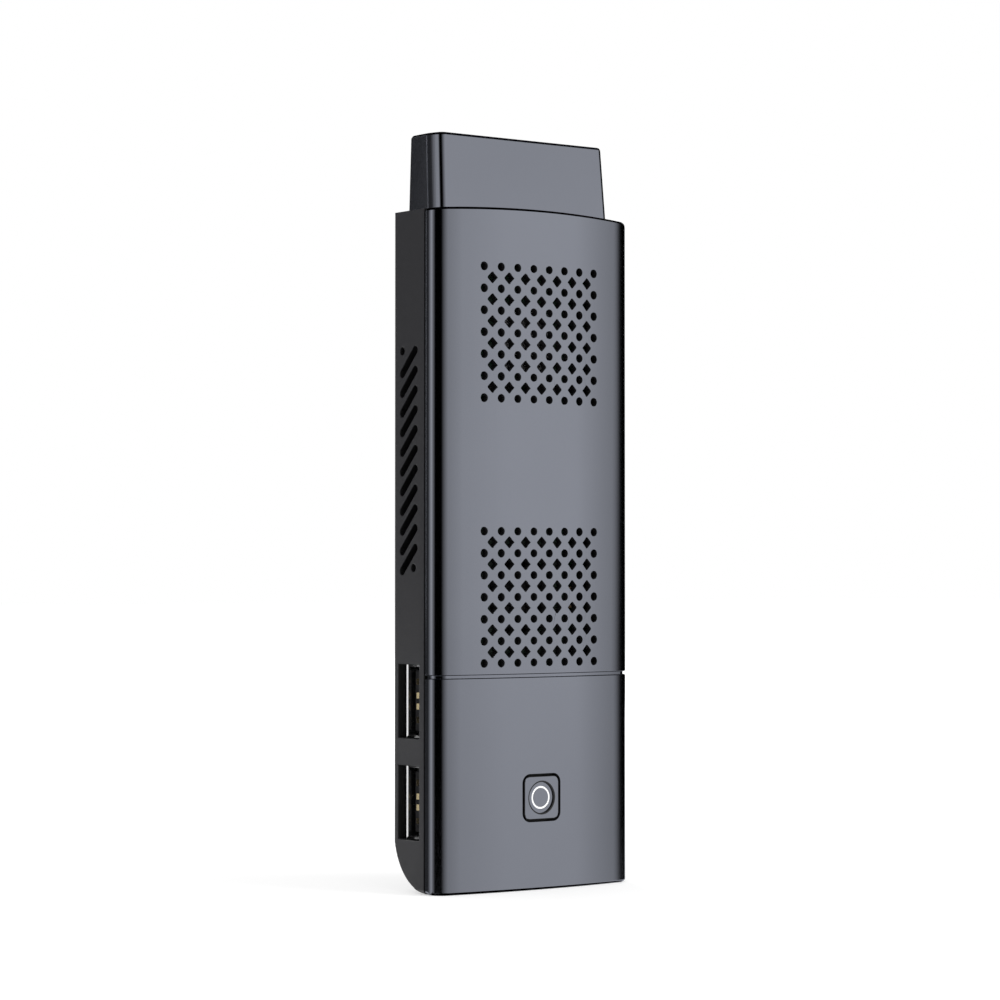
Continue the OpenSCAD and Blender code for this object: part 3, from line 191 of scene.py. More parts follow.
# %% [markdown]
# ## Satin covers
# Covers, cap and key are moulded and sprayed with a smooth gun-metal lacquer, metal powder under a clear
# film. A grey diffuse paint would stay grey where the photograph goes black along the rounded edge, so the
# lacquer is a metal here. The powder varies the colour a little, and so does a faint orange peel the gloss.

# %% Lacquer
LACQUER_DARK = (0.222, 0.234, 0.272)
LACQUER_LIGHT = (0.250, 0.263, 0.304)
LACQUER_ROUGH = 0.11
FLAKE_SIZE = 0.15
CLOUD_SIZE = 14.0
FINE_GLOSS_SIZE = 0.4
BROAD_GLOSS_SIZE = 9.0
PEEL_SIZE = 1.2
PEEL_DEPTH = 0.0006

lacquer = Finish("satin_lacquer")
flakes = lacquer.grain(FLAKE_SIZE, detail=1.0)
clouds = lacquer.grain(CLOUD_SIZE)
fine_gloss = lacquer.grain(FINE_GLOSS_SIZE)
broad_gloss = lacquer.grain(BROAD_GLOSS_SIZE)
lacquer.put(
    Base_Color=lacquer.blend(0.5 + flakes * 0.8 + clouds * 0.4, LACQUER_DARK, LACQUER_LIGHT),
    Metallic=1.0,
    Roughness=LACQUER_ROUGH + fine_gloss * 0.04 + broad_gloss * 0.03,
)
lacquer.bump(lacquer.grain(PEEL_SIZE, detail=1.0) + 0.5, PEEL_DEPTH)
print("lacquer ready")

# %% [markdown]
# ## Moulded shell
# The shell is plain dark plastic straight from the mould, whose steel was spark eroded to a fine matt
# texture. A bump at a fifth of a millimetre gives that, with the roughness following it.

# %% Shell plastic
SHELL_DARK = (0.026, 0.026, 0.029)
SHELL_LIGHT = (0.044, 0.044, 0.049)
SHELL_ROUGH = 0.31
SPARK_SIZE = 0.22
SPARK_DEPTH = 0.010

shell_plastic = Finish("moulded_shell")
spark = shell_plastic.grain(SPARK_SIZE, detail=3.0)
shell_plastic.put(
    Base_Color=shell_plastic.blend(0.5 + spark * 0.8, SHELL_DARK, SHELL_LIGHT),
    Roughness=SHELL_ROUGH + spark * 0.14,
)
shell_plastic.bump(spark + 0.5, SPARK_DEPTH)
print("shell plastic ready")

# %% [markdown]
# ## Metals
# Sheet steel for connectors is plated after it is stamped, so it is bright with faint lines along the
# strip. One recipe serves every metal here: a colour, a roughness, and a grain that is drawn out one way.

# %% Metals
LINE_SIZE = 0.10
LINE_DEPTH = 0.002
STAIN_SIZE = 4.0
EVEN = (1.0, 1.0, 1.0)
ALONG_STRIP = (12.0, 1.0, 1.0)
ALONG_WIRE = (1.0, 8.0, 1.0)
ALONG_FINS = (1.0, 1.0, 20.0)


def metal(name, dark, light, roughness, stretch=EVEN):
    """A metal between two colours, with its roughness and the way in which its fine lines are drawn out."""
    made = Finish(name)
    lines = made.grain(LINE_SIZE, stretch=stretch)
    made.put(
        Base_Color=made.blend(0.5 + lines * 0.8, dark, light),
        Metallic=1.0,
        Roughness=roughness + lines * 0.12 + made.grain(STAIN_SIZE) * 0.05,
    )
    made.bump(lines + 0.5, LINE_DEPTH)
    return made


steel = metal("plated_steel", (0.60, 0.60, 0.62), (0.76, 0.76, 0.78), 0.24, ALONG_STRIP)
bright = metal("bright_plating", (0.88, 0.88, 0.89), (0.94, 0.94, 0.95), 0.08)
gold = metal("gold_contact", (0.80, 0.64, 0.36), (0.92, 0.79, 0.50), 0.20)
aluminium = metal("milled_aluminium", (0.55, 0.56, 0.58), (0.68, 0.69, 0.71), 0.30, ALONG_FINS)
copper = metal("enamelled_copper", (0.55, 0.26, 0.12), (0.80, 0.43, 0.22), 0.28, ALONG_WIRE)
bronze = metal("sintered_bronze", (0.42, 0.30, 0.15), (0.62, 0.46, 0.25), 0.42)
magnet = metal("bonded_magnet", (0.06, 0.06, 0.065), (0.11, 0.11, 0.12), 0.50)
black_steel = metal("blackened_steel", (0.09, 0.09, 0.10), (0.16, 0.16, 0.17), 0.36)
print("8 metals ready")

# %% [markdown]
# ## Plastics, resin, rubber and ceramic
# The small pieces share one more recipe: a colour that wanders between two shades, and a texture whose
# grain and depth suit the stuff, fine for moulded nylon and coarser for rubber.


# %% Plain stuffs
def stuff(name, dark, light, roughness, size, depth):
    """A stuff between two shades, with its roughness, and its grain's size and depth in millimetres."""
    made = Finish(name)
    cloud = made.grain(size, detail=3.0)
    made.put(Base_Color=made.blend(0.5 + cloud, dark, light), Roughness=roughness + cloud * 0.15)
    made.bump(cloud + 0.5, depth)
    return made


nylon = stuff("black_nylon", (0.012, 0.012, 0.013), (0.026, 0.026, 0.028), 0.38, 0.25, 0.006)
resin = stuff("chip_resin", (0.014, 0.014, 0.015), (0.030, 0.030, 0.031), 0.52, 0.12, 0.005)
ceramic = stuff("fired_ceramic", (0.40, 0.27, 0.15), (0.55, 0.40, 0.25), 0.45, 0.30, 0.003)
glaze = stuff("white_glaze", (0.72, 0.72, 0.70), (0.82, 0.82, 0.80), 0.22, 0.60, 0.002)
pad = stuff("thermal_pad", (0.20, 0.23, 0.31), (0.26, 0.29, 0.38), 0.80, 0.35, 0.020)
lead_skin = stuff("lead_insulation", (0.28, 0.012, 0.012), (0.40, 0.020, 0.020), 0.48, 0.40, 0.006)
ivory = stuff("ivory_nylon", (0.62, 0.57, 0.44), (0.74, 0.69, 0.56), 0.42, 0.30, 0.006)
# Painted shade: this near-black finish darkens the inside of the shell's wall, the port linings and the foot
# seal.
shade_black = stuff("painted_shade_black", (0.003, 0.003, 0.003), (0.007, 0.007, 0.008), 0.55, 0.25, 0.006)
# Unlacquered plastic and painted shade: this dark finish is the plastic deep inside covers and key, and
# painted shade on the walls and broken edges of the holes and on the key's edge lines.
bare_plastic_and_shade = stuff("bare_plastic_and_shade", (0.010, 0.010, 0.011), (0.018, 0.018, 0.020), 0.55, 0.30, 0.006)
print("9 plain stuffs ready")

# %% [markdown]
# ## Board and ring
# A circuit board is glass laminate under green lacquer, with copper tracks that stand up a little under it.
# A pattern of cells has straight borders where distance is measured along the axes, and such borders read as
# tracks. The ring in the key is a clear white light guide, lit a little from behind.

# %% Board laminate
BOARD_DARK = (0.003, 0.026, 0.012)
BOARD_LIGHT = (0.009, 0.055, 0.024)
BOARD_ROUGH = 0.30
TRACK_SCALE = 420.0
TRACK_CHAOS = 0.9
TRACK_WIDTH = 0.16
TRACK_HEIGHT = 0.03

laminate = Finish("board_laminate")
cells = {"Vector": laminate.place(), "Scale": TRACK_SCALE, "Randomness": TRACK_CHAOS}
near = laminate.node("ShaderNodeTexVoronoi", {"feature": "F1", "distance": "CHEBYCHEV"}, cells)
next_near = laminate.node("ShaderNodeTexVoronoi", {"feature": "F2", "distance": "CHEBYCHEV"}, cells)
track = next_near - near < TRACK_WIDTH
laminate.put(
    Base_Color=laminate.blend(track, BOARD_DARK, BOARD_LIGHT),
    Roughness=BOARD_ROUGH + laminate.grain(FINE_GLOSS_SIZE) * 0.10,
)
laminate.bump(track, TRACK_HEIGHT)
print("board laminate ready")

# %% Light ring
RING_DARK = (0.86, 0.87, 0.88)
RING_LIGHT = (0.92, 0.93, 0.94)
RING_ROUGH = 0.25
RING_GLOW = 0.45

ring_white = Finish("light_guide")
ring_white.put(
    Base_Color=ring_white.blend(0.5 + ring_white.grain(0.5), RING_DARK, RING_LIGHT),
    Roughness=RING_ROUGH + ring_white.grain(0.3) * 0.06,
    Emission_Color=(1.0, 1.0, 1.0, 1.0),
    Emission_Strength=RING_GLOW,
)
print("light ring ready")

# %% [markdown]
# ## A finish for every node
# The record gives each node a slot. Each slot gets its finish here, on the CAD nodes themselves, so that
# nothing is left in plain colour, and the pieces below take theirs from the same list.

# %% Finishes by slot
FINISH = {
    "cover_plastic": lacquer,
    "shell_plastic": shell_plastic,
    "ring_plastic": ring_white,
    "connector_steel": steel,
    "connector_plastic": nylon,
    "contact_gold": gold,
    "board_laminate": laminate,
    "chip_resin": resin,
    "ceramic_body": ceramic,
    "antenna_body": glaze,
    "pad_rubber": pad,
    "sink_aluminium": aluminium,
    "winding_copper": copper,
    "bearing_bronze": bronze,
    "magnet_iron": magnet,
    "lead_rubber": lead_skin,
    "socket_plastic": ivory,
    "screw_steel": black_steel,
}
slot_of = {part["node"]: part["material_slot"] for part in frame["record"]["subparts"]}
body_of = {node: body for body, nodes in frame["record"]["behaviour"]["bodies"].items() for node in nodes}
for node, slot in slot_of.items():
    for holder in frame["nodes"][node].material_slots:
        holder.material = FINISH[slot].material
print(len(slot_of), "nodes finished")

# %% [markdown]
# ## Softened copies
# No moulded edge is a true corner: each has a radius that catches a line of light. A node's mesh is loose
# triangles, so a copy is merged and its flat faces are joined. Then only the edges that a hand could touch
# are chosen, by their angle and place, and bevelled.

# %% Copying and rounding
WELD = 0.001
FLAT_ANGLE = 0.2
MOSTLY = 0.9


def only(piece):
    bpy.ops.object.select_all(action="DESELECT")
    piece.select_set(True)
    bpy.context.view_layer.objects.active = piece


def merged_copy(node, weld=WELD):
    """A copy of a node, with points joined within a distance in millimetres and with whole flat faces."""
    piece = bpy.data.objects.new(node + "_dressed", frame["nodes"][node].data.copy())
    scene.collection.objects.link(piece)
    only(piece)
    bpy.ops.mesh.customdata_custom_splitnormals_clear()
    bpy.ops.object.mode_set(mode="EDIT")
    bpy.ops.mesh.select_all(action="SELECT")
    bpy.ops.mesh.remove_doubles(threshold=weld * MM)
    bpy.ops.mesh.dissolve_limited(angle_limit=math.radians(FLAT_ANGLE))
    bpy.ops.object.mode_set(mode="OBJECT")
    return piece


def round_edges(piece, width, place, sharp=35.0, steps=2, clamp=True, slide=False, inward=False):
    """Bevels the edges sharper than an angle whose ends both lie where place says, in millimetres.
    With slide, new corners run along the edges that meet there. With inward, only the edges that run from
    front to back are taken."""
    only(piece)
    bpy.ops.object.mode_set(mode="EDIT")
    bpy.ops.mesh.select_mode(type="EDGE")
    bpy.ops.mesh.select_all(action="DESELECT")
    shape = bmesh.from_edit_mesh(piece.data)
    chosen = 0
    for edge in shape.edges:
        if len(edge.link_faces) == 2 and edge.calc_face_angle() > math.radians(sharp):
            run = edge.verts[0].co - edge.verts[1].co
            if inward and abs(run.y) < MOSTLY * run.length:
                continue
            if all(place(*(end.co / MM)) for end in edge.verts):
                edge.select_set(True)
                chosen += 1
    bmesh.update_edit_mesh(piece.data)
    if chosen:
        bpy.ops.mesh.bevel(
            offset=width * MM,
            segments=steps,
            profile=0.5,
            affect="EDGES",
            clamp_overlap=clamp,
            loop_slide=slide,
        )
    bpy.ops.object.mode_set(mode="OBJECT")
    print(piece.name, "rounded", chosen, "edges by", width, "mm")


def pick(piece, place):
    """Goes to edit mode with the vertices selected where place is true."""
    only(piece)
    bpy.ops.object.mode_set(mode="EDIT")
    bpy.ops.mesh.select_mode(type="VERT")
    bpy.ops.mesh.select_all(action="DESELECT")
    shape = bmesh.from_edit_mesh(piece.data)
    for vertex in shape.verts:
        vertex.select_set(place(*(vertex.co / MM)))
    bmesh.update_edit_mesh(piece.data)


def pull(piece, place, shift):
    """Moves the vertices where place is true, in millimetres."""
    pick(piece, place)
    bpy.ops.transform.translate(value=[part * MM for part in shift])
    bpy.ops.object.mode_set(mode="OBJECT")


def press_flat(piece, place, height):
    """Brings the vertices where place is true to one height, in millimetres."""
    pick(piece, place)
    bpy.ops.transform.resize(value=(1.0, 1.0, 0.0), center_override=(0.0, 0.0, height * MM))
    bpy.ops.object.mode_set(mode="OBJECT")


def settle(piece, node, angle=40.0):
    """Smooths the piece by angle, weighs its normals by face, and puts it in the node's place."""
    only(piece)
    bpy.ops.object.shade_smooth_by_angle(angle=math.radians(angle))
    weigh = piece.modifiers.new("weigh", "WEIGHTED_NORMAL")
    weigh.keep_sharp = True
    bpy.ops.object.modifier_apply(modifier=weigh.name)
    piece.data.materials.clear()
    piece.data.materials.append(FINISH[slot_of[node]].material)
    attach(piece, body_of[node])
    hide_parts(node)
    print(piece.name, len(piece.data.polygons), "faces")


# %% [markdown]
# ## Front covers
# The two covers share one skin: a wide crown across the stick that turns into a tight radius at each long
# edge. The solids cut that skin into flat strips, which a smooth finish would show as bands. The skin's
# true normal is known at every point, so it is written on the mesh, eased where crown and edge meet.

# %% The covers' skin
CROWN_R = 141.0
FRONT_Y = -9.7
EDGE_R = 3.6
EDGE_X = 19.1
EDGE_Y = -4.830
EASE_FROM = 18.8
EASE_TO = 21.6
SKIN = 0.03


def skin_gap(x, y):
    """How far a point lies inside the covers' skin, in millimetres."""
    crown_gap = CROWN_R - math.hypot(x, y - FRONT_Y - CROWN_R)
    if abs(x) < EDGE_X:
        return crown_gap
    if y > EDGE_Y:
        return EDGE_X + EDGE_R - abs(x)
    return min(crown_gap, EDGE_R - math.hypot(abs(x) - EDGE_X, y - EDGE_Y))


def skin_normal(x, y):
    """The skin's outward direction, eased from the crown to the rounded long edge."""
    crown = Vector((x, y - FRONT_Y - CROWN_R, 0.0)).normalized()
    if abs(x) < EASE_FROM:
        return crown
    side = math.copysign(1.0, x)
    edge = Vector((side * max(abs(x) - EDGE_X, 0.0), min(y - EDGE_Y, 0.0), 0.0)).normalized()
    part = min((abs(x) - EASE_FROM) / (EASE_TO - EASE_FROM), 1.0)
    part = part * part * (3.0 - 2.0 * part)
    return crown.lerp(edge, part).normalized()


def true_normals(piece, near=0.94):
    """Writes the skin's normal on the faces of a piece that lie on the skin."""
    mesh = piece.data
    normals = [corner.vector.copy() for corner in mesh.corner_normals]
    written = 0
    for face in mesh.polygons:
        x, y = (face.center / MM).xy
        faces_out = face.normal.dot(skin_normal(x, y)) > near and abs(skin_gap(x, y)) < 3 * SKIN
        corners = [mesh.vertices[corner].co / MM for corner in face.vertices]
        if not faces_out and any(abs(skin_gap(point.x, point.y)) > SKIN for point in corners):
            continue
        for corner in face.loop_indices:
            point = mesh.vertices[mesh.loops[corner].vertex_index].co / MM
            normals[corner] = skin_normal(point.x, point.y)
        written += 1
    mesh.normals_split_custom_set(normals)
    print(piece.name, written, "faces on the skin")


# %% [markdown]
# ## Rounding the covers
# The photograph shows a dark line along the arched end, two along the seam and one along the bottom, where
# a rounded edge looks up or down. Both ends have a large radius and the seam a small one. The edges of vents
# and key opening are only broken. The lacquer is sprayed from outside, so faces deep inside stay
# unlacquered.
# The dark finish on the walls of the holes and on their broken edges is painted shade as well as unlacquered
# plastic.

# %% Places on the covers
ARCH_R = 322.456
BOTTOM_Z = -125.0
HALF_W = 22.7
FOOT_R = 1.0
FOOT_Y = -6.2
RIM_Y = -4.6
SEAM_EDGES = (-85.45, -85.95)
KEY_Z = -108.1
KEY_REACH = 5.2
VENT_X = 14.8
VENT_PITCH = 4.0
DIAMOND_REACH = 1.35
VENT_BANDS = ((-38.0, -9.0), (-84.5, -57.5))
TOP_EDGE = 0.80
SEAM_EDGE = 0.30
BOTTOM_EDGE = 0.75
RIM_EDGE = 0.12
KEY_HOLE_EDGE = 0.06
DIAMOND_CORNER = 0.28
DIAMOND_EDGE = 0.13
LACQUER_DEPTH = 0.62
SHADE_DEPTH = 0.02
FOOT_SPRAY = 0.12
COVER_WELD = 0.03


def arch_top(x):
    return math.sqrt(ARCH_R**2 - x**2) - ARCH_R


def on_skin(x, y, z):
    return abs(skin_gap(x, y)) < SKIN


def at_top(x, y, z):
    return on_skin(x, y, z) and z > arch_top(x) - SKIN


def at_seam(x, y, z):
    return on_skin(x, y, z) and any(abs(z - edge) < SKIN for edge in SEAM_EDGES)


def at_bottom(x, y, z):
    reach = math.hypot(max(abs(x) - HALF_W + FOOT_R, 0.0), z - BOTTOM_Z - FOOT_R)
    return on_skin(x, y, z) and y < FOOT_Y and z < BOTTOM_Z + FOOT_R and abs(reach - FOOT_R) < SKIN


def under_foot(x, y, z):
    return z < BOTTOM_Z


def at_rim(x, y, z):
    return abs(x) > HALF_W - SKIN and abs(y - RIM_Y) < SKIN and BOTTOM_Z + 2 * FOOT_R < z


def in_vents(x, z):
    return abs(x) < VENT_X and any(low < z < high for low, high in VENT_BANDS)


def in_diamonds(x, y, z):
    return in_vents(x, z) and abs(x - VENT_PITCH * round(x / VENT_PITCH)) < DIAMOND_REACH


def at_diamonds(x, y, z):
    return on_skin(x, y, z) and in_diamonds(x, y, z)


def at_key_hole(x, y, z):
    return on_skin(x, y, z) and max(abs(x), abs(z - KEY_Z)) < KEY_REACH


# %% Both covers
def unlacquered_and_shade_faces(piece, finish, darkened):
    """Gives a second, dark finish to the faces of a piece for which the test is true, which stands for
    unlacquered plastic and for painted shade.
    """
    piece.data.materials.append(finish.material)
    for face in piece.data.polygons:
        face.material_index = int(darkened(*(face.center / MM)))


# Faces deep inside stay unlacquered plastic. In the vents and key hole every face below the skin is darkened
# as painted shade.
def cover_unlacquered_and_shade(x, y, z):
    if abs(x) > HALF_W - 1.5 * FOOT_R and BOTTOM_Z + FOOT_SPRAY < z < BOTTOM_Z + 2 * FOOT_R:
        return False
    holes = in_vents(x, z) or max(abs(x), abs(z - KEY_Z)) < KEY_REACH
    return skin_gap(x, y) > (SHADE_DEPTH if holes else LACQUER_DEPTH)


for node in ("front_cover_upper", "front_cover_lower"):
    cover = merged_copy(node, COVER_WELD)
    round_edges(cover, TOP_EDGE, at_top, steps=4, clamp=False)
    round_edges(cover, SEAM_EDGE, at_seam, steps=3, clamp=False)
    round_edges(cover, BOTTOM_EDGE, at_bottom, steps=6, clamp=False)
    press_flat(cover, under_foot, BOTTOM_Z)
    round_edges(cover, RIM_EDGE, at_rim, clamp=False)
    round_edges(
        cover, DIAMOND_CORNER, in_diamonds, sharp=60.0, steps=3, clamp=False, slide=True, inward=True
    )
    round_edges(cover, DIAMOND_EDGE, at_diamonds, clamp=False, slide=True)
    round_edges(cover, KEY_HOLE_EDGE, at_key_hole, clamp=False, slide=True)
    settle(cover, node)
    true_normals(cover)
    unlacquered_and_shade_faces(cover, bare_plastic_and_shade, cover_unlacquered_and_shade)

# %% [markdown]
# ## Rear shell
# The shell's outer faces are flat, so their edges alone need work: the mouths of the slanted side vents,
# the ports and the round toe's ends. What lies inside the wall gets a near-black finish, painted shade, so
# that the slots read as black.

# %% Shell
BACK_Y = 5.1
TOE_R = 10.8
SHELL_EDGE = 0.12
SHELL_SKIN = 0.2


def shell_gap(x, y, z):
    """How far a point lies inside the shell's outside, in millimetres."""
    gap = min(HALF_W - abs(x), arch_top(x) - z)
    if y > BACK_Y - TOE_R and z < BOTTOM_Z + TOE_R:
        return min(gap, TOE_R - math.hypot(y - BACK_Y + TOE_R, z - BOTTOM_Z - TOE_R))
    return min(gap, BACK_Y - y, z - BOTTOM_Z)


def on_shell(x, y, z):
    return abs(abs(x) - HALF_W) < SKIN or y > BACK_Y - SKIN


# Painted shade: every face more than SHELL_SKIN inside the shell's outside, slot walls and rim included,
# gets the near-black finish.
def shell_shade_faces(x, y, z):
    return shell_gap(x, y, z) > SHELL_SKIN


shell = merged_copy("rear_shell")
round_edges(shell, SHELL_EDGE, on_shell, clamp=False)
settle(shell, "rear_shell")
unlacquered_and_shade_faces(shell, shade_black, shell_shade_faces)

# %% [markdown]
# ## Cap, key and ring
# The cap is a hollow box with soft sides that follows the arch at its foot. The key is a rounded square
# with a round dish, and its face is part of the lower cover's crown. The edges of key and dish get the dark
# finish, which paints the dark lines round both as painted shade.

# %% Cap
CAP_TOP = 13.2
CAP_BACK = 4.3
CAP_SIDE = 19.0
CAP_TOP_ROOM = 0.2
CAP_WELD = 0.02
CAP_TOP_EDGE = 0.34
CAP_BACK_EDGE = 0.15


def at_cap_top(x, y, z):
    return z > CAP_TOP


def at_cap_back(x, y, z):
    return y > CAP_BACK and abs(x) > CAP_SIDE and z < CAP_TOP + CAP_TOP_ROOM


cap = merged_copy("plug_cap", CAP_WELD)
round_edges(cap, CAP_TOP_EDGE, at_cap_top, sharp=30.0, clamp=False)
round_edges(cap, CAP_BACK_EDGE, at_cap_back, clamp=False)
settle(cap, "plug_cap", angle=35.0)

# %% Key and ring
DISH_R = 2.85
DISH_Y = -9.6
KEY_EDGE = 0.14
DISH_EDGE = 0.26
DISH_FLOOR_Y = -9.38
DISH_RISE = 0.19
KEY_BORDER = 3.7
RING_Y = -9.2
RING_EDGE = 0.08


def dish_rim(x, y, z):
    return y < DISH_Y and abs(math.hypot(x, z - KEY_Z) - DISH_R) < SKIN


def dish_ledge(x, y, z):
    return y < DISH_FLOOR_Y and abs(math.hypot(x, z - KEY_Z) - DISH_R) < SKIN


def key_outline(x, y, z):
    return on_skin(x, y, z) and math.hypot(x, z - KEY_Z) > DISH_R + 2 * DISH_EDGE


# Painted shade: the key's outer border and a ring at the dish's rim are darkened to draw the dark lines of
# the gaps; faces deep inside are unlacquered plastic.
def key_unlacquered_and_shade(x, y, z):
    from_dish = math.hypot(x, z - KEY_Z) - DISH_R
    edges = max(abs(x), abs(z - KEY_Z)) > KEY_BORDER or -SKIN < from_dish < DISH_EDGE + SKIN
    return skin_gap(x, y) > (SHADE_DEPTH / 2 if edges else LACQUER_DEPTH)


def ring_front(x, y, z):
    return y < RING_Y


key = merged_copy("power_key")
round_edges(key, DISH_EDGE, dish_rim, steps=1, clamp=False)
pull(key, dish_ledge, (0.0, -DISH_RISE, 0.0))
round_edges(key, KEY_EDGE, key_outline, clamp=False)
settle(key, "power_key")
true_normals(key)
unlacquered_and_shade_faces(key, bare_plastic_and_shade, key_unlacquered_and_shade)

ring = merged_copy("key_light_ring")
round_edges(ring, RING_EDGE, ring_front)
settle(ring, "key_light_ring")

# %% [markdown]
# ## Connectors
# Connectors are stamped or moulded, and all their edges are broken a little. The data ports' shells are set
# back at the front, which leaves room for the lips below. The contacts are bent springs: the ends of the
# inner two are pulled out a little, so that they lean and catch the light.

# %% Shells and insulators
PORTS = {"upper": -90.25, "lower": -108.65}
LIP_X = -20.95
LIP_BACK = 0.15
CONNECTOR_EDGES = {
    "plug_shell": 0.10,
    "data_port_upper_shell": 0.04,
    "data_port_lower_shell": 0.04,
    "power_inlet_shell": 0.08,
    "card_slot_shell": 0.05,
    "data_port_upper_insulator": 0.12,
    "data_port_lower_insulator": 0.12,
}


def everywhere(x, y, z):
    return True


def at_lip(x, y, z):
    return x < LIP_X


for node, width in CONNECTOR_EDGES.items():
    connector = merged_copy(node)
    if node.startswith("data_port") and node.endswith("shell"):
        pull(connector, at_lip, (LIP_BACK, 0.0, 0.0))
    round_edges(connector, width, everywhere)
    settle(connector, node)

# %% Contacts of the data ports
SPRING_X = -19.95
SPRING_Y = 1.2
INNER_SPRINGS = 2.2
SPRING_PULL = (-0.30, -0.45, 0.0)
SPRING_EDGE = 0.05


def spring_end(x, y, z):
    inner = any(abs(z - port_z) < INNER_SPRINGS for port_z in PORTS.values())
    return inner and x < SPRING_X and y > SPRING_Y


for node in ("data_port_upper_contacts", "data_port_lower_contacts"):
    springs = merged_copy(node)
    pull(springs, spring_end, SPRING_PULL)
    round_edges(springs, SPRING_EDGE, everywhere)
    settle(springs, node)

# %% [markdown]
# ## Port mouths
# Each data port ends in a narrow plated lip. It is a plane that is inset, opened and pushed in at its inner
# edge, with a thickness from Solidify. The lean of the rear lip turns it to the light, and it becomes the
# bright line inside each port, so it stays flat and polished.

# %% Mouths
PORT_Y = 0.625
MOUTH_X = -21.03
MOUTH_H = 5.88
MOUTH_W = 13.30
MOUTH_LIP = 0.35
MOUTH_LEAN = 0.138
MOUTH_TOP_RISE = 0.28
MOUTH_SHEET = 0.03
MOUTH_ANGLE = 5.0


def mouth_inner_top(x, y, z):
    tops = [port_z + MOUTH_W / 2 - MOUTH_LIP - SKIN for port_z in PORTS.values()]
    return any(top < z < top + MOUTH_LIP / 2 for top in tops)


def settle_new(piece, finish, angle=40.0):
    """Smooths a new piece by angle, and gives it its finish and body."""
    bpy.ops.object.mode_set(mode="OBJECT")
    bpy.ops.object.shade_smooth_by_angle(angle=math.radians(angle))
    piece.data.materials.append(finish.material)
    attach(piece, "casing")
    print(piece.name, len(piece.data.polygons), "faces")


def apply(piece, kind, **settings):
    """Adds a modifier with its settings and applies it."""
    bpy.ops.object.mode_set(mode="OBJECT")
    step = piece.modifiers.new("step", kind)
    for name, setting in settings.items():
        setattr(step, name, setting)
    bpy.ops.object.modifier_apply(modifier=step.name)


for name, port_z in PORTS.items():
    bpy.ops.object.select_all(action="DESELECT")
    middle = (MOUTH_X * MM, PORT_Y * MM, port_z * MM)
    bpy.ops.mesh.primitive_plane_add(size=1.0, location=middle, rotation=(0.0, math.radians(-90.0), 0.0))
    mouth = bpy.context.active_object
    mouth.name = "data_port_" + name + "_mouth"
    mouth.scale = (MOUTH_W * MM, MOUTH_H * MM, 1.0)
    bpy.ops.object.transform_apply(location=True, rotation=True, scale=True)
    bpy.ops.object.mode_set(mode="EDIT")
    bpy.ops.mesh.select_mode(type="FACE")
    bpy.ops.mesh.select_all(action="SELECT")
    bpy.ops.mesh.inset(thickness=MOUTH_LIP * MM)
    bpy.ops.transform.translate(value=(MOUTH_LEAN * MM, 0.0, 0.0))
    bpy.ops.mesh.delete(type="FACE")
    bpy.ops.object.mode_set(mode="OBJECT")
    pull(mouth, mouth_inner_top, (0.0, 0.0, MOUTH_TOP_RISE))
    apply(mouth, "SOLIDIFY", thickness=MOUTH_SHEET * MM, offset=-1.0)
    settle_new(mouth, bright, angle=MOUTH_ANGLE)

# %% [markdown]
# ## Port linings
# Between the shell's wall and each data port sits a thin black frame, which hides the gap round the port.
# Its near-black is painted shade, which makes the port's mouth read as black. It starts as a box without
# ends, and Solidify gives it its wall.

# %% Linings
LINING_W = 13.48
LINING_H = 6.58
LINING_FROM = -22.58
LINING_TO = -20.82
LINING_WALL = 0.06
LINING_EDGE = 0.02

for name, port_z in PORTS.items():
    bpy.ops.object.select_all(action="DESELECT")
    middle = ((LINING_FROM + LINING_TO) / 2 * MM, PORT_Y * MM, port_z * MM)
    bpy.ops.mesh.primitive_cube_add(size=1.0, location=middle)
    lining = bpy.context.active_object
    lining.name = "data_port_" + name + "_lining"
    lining.scale = ((LINING_TO - LINING_FROM) * MM, LINING_H * MM, LINING_W * MM)
    bpy.ops.object.transform_apply(location=True, rotation=True, scale=True)
    bpy.ops.object.mode_set(mode="EDIT")
    bpy.ops.mesh.select_mode(type="FACE")
    bpy.ops.mesh.select_all(action="DESELECT")
    shape = bmesh.from_edit_mesh(lining.data)
    for face in shape.faces:
        face.select_set(abs(face.normal.x) > MOSTLY)
    bmesh.update_edit_mesh(lining.data)
    bpy.ops.mesh.delete(type="FACE")
    apply(lining, "SOLIDIFY", thickness=LINING_WALL * MM, offset=-1.0, use_even_offset=True)
    apply(lining, "BEVEL", width=LINING_EDGE * MM, segments=2)
    settle_new(lining, shade_black)

# %% [markdown]
# ## Foot seal
# The shadow gap between covers and shell runs out at the foot, where one could look through it from side to
# side. A thin bar closes it there, as a moulded rib would; its near-black is painted shade in the gap.

# %% Foot seal
SEAL_HALF = 21.6
SEAL_FROM = (-4.59, -124.95)
SEAL_TO = (-4.16, -122.0)
SEAL_EDGE = 0.05

bpy.ops.object.select_all(action="DESELECT")
middle = (0.0, (SEAL_FROM[0] + SEAL_TO[0]) / 2 * MM, (SEAL_FROM[1] + SEAL_TO[1]) / 2 * MM)
bpy.ops.mesh.primitive_cube_add(size=1.0, location=middle)
seal = bpy.context.active_object
seal.name = "foot_seal"
seal.scale = (2 * SEAL_HALF * MM, (SEAL_TO[0] - SEAL_FROM[0]) * MM, (SEAL_TO[1] - SEAL_FROM[1]) * MM)
bpy.ops.object.transform_apply(location=True, rotation=True, scale=True)
apply(seal, "BEVEL", width=SEAL_EDGE * MM, segments=2)
settle_new(seal, shade_black)

# %% [markdown]
# ## Studio
# The stick stands against white. The floor is white paper: it takes the stick's shadow, and it adds the
# little light of its own that makes it read as white to the camera. The world does the same for what lies
# beyond it, also in reflections, which are a little dimmer high up and low down.

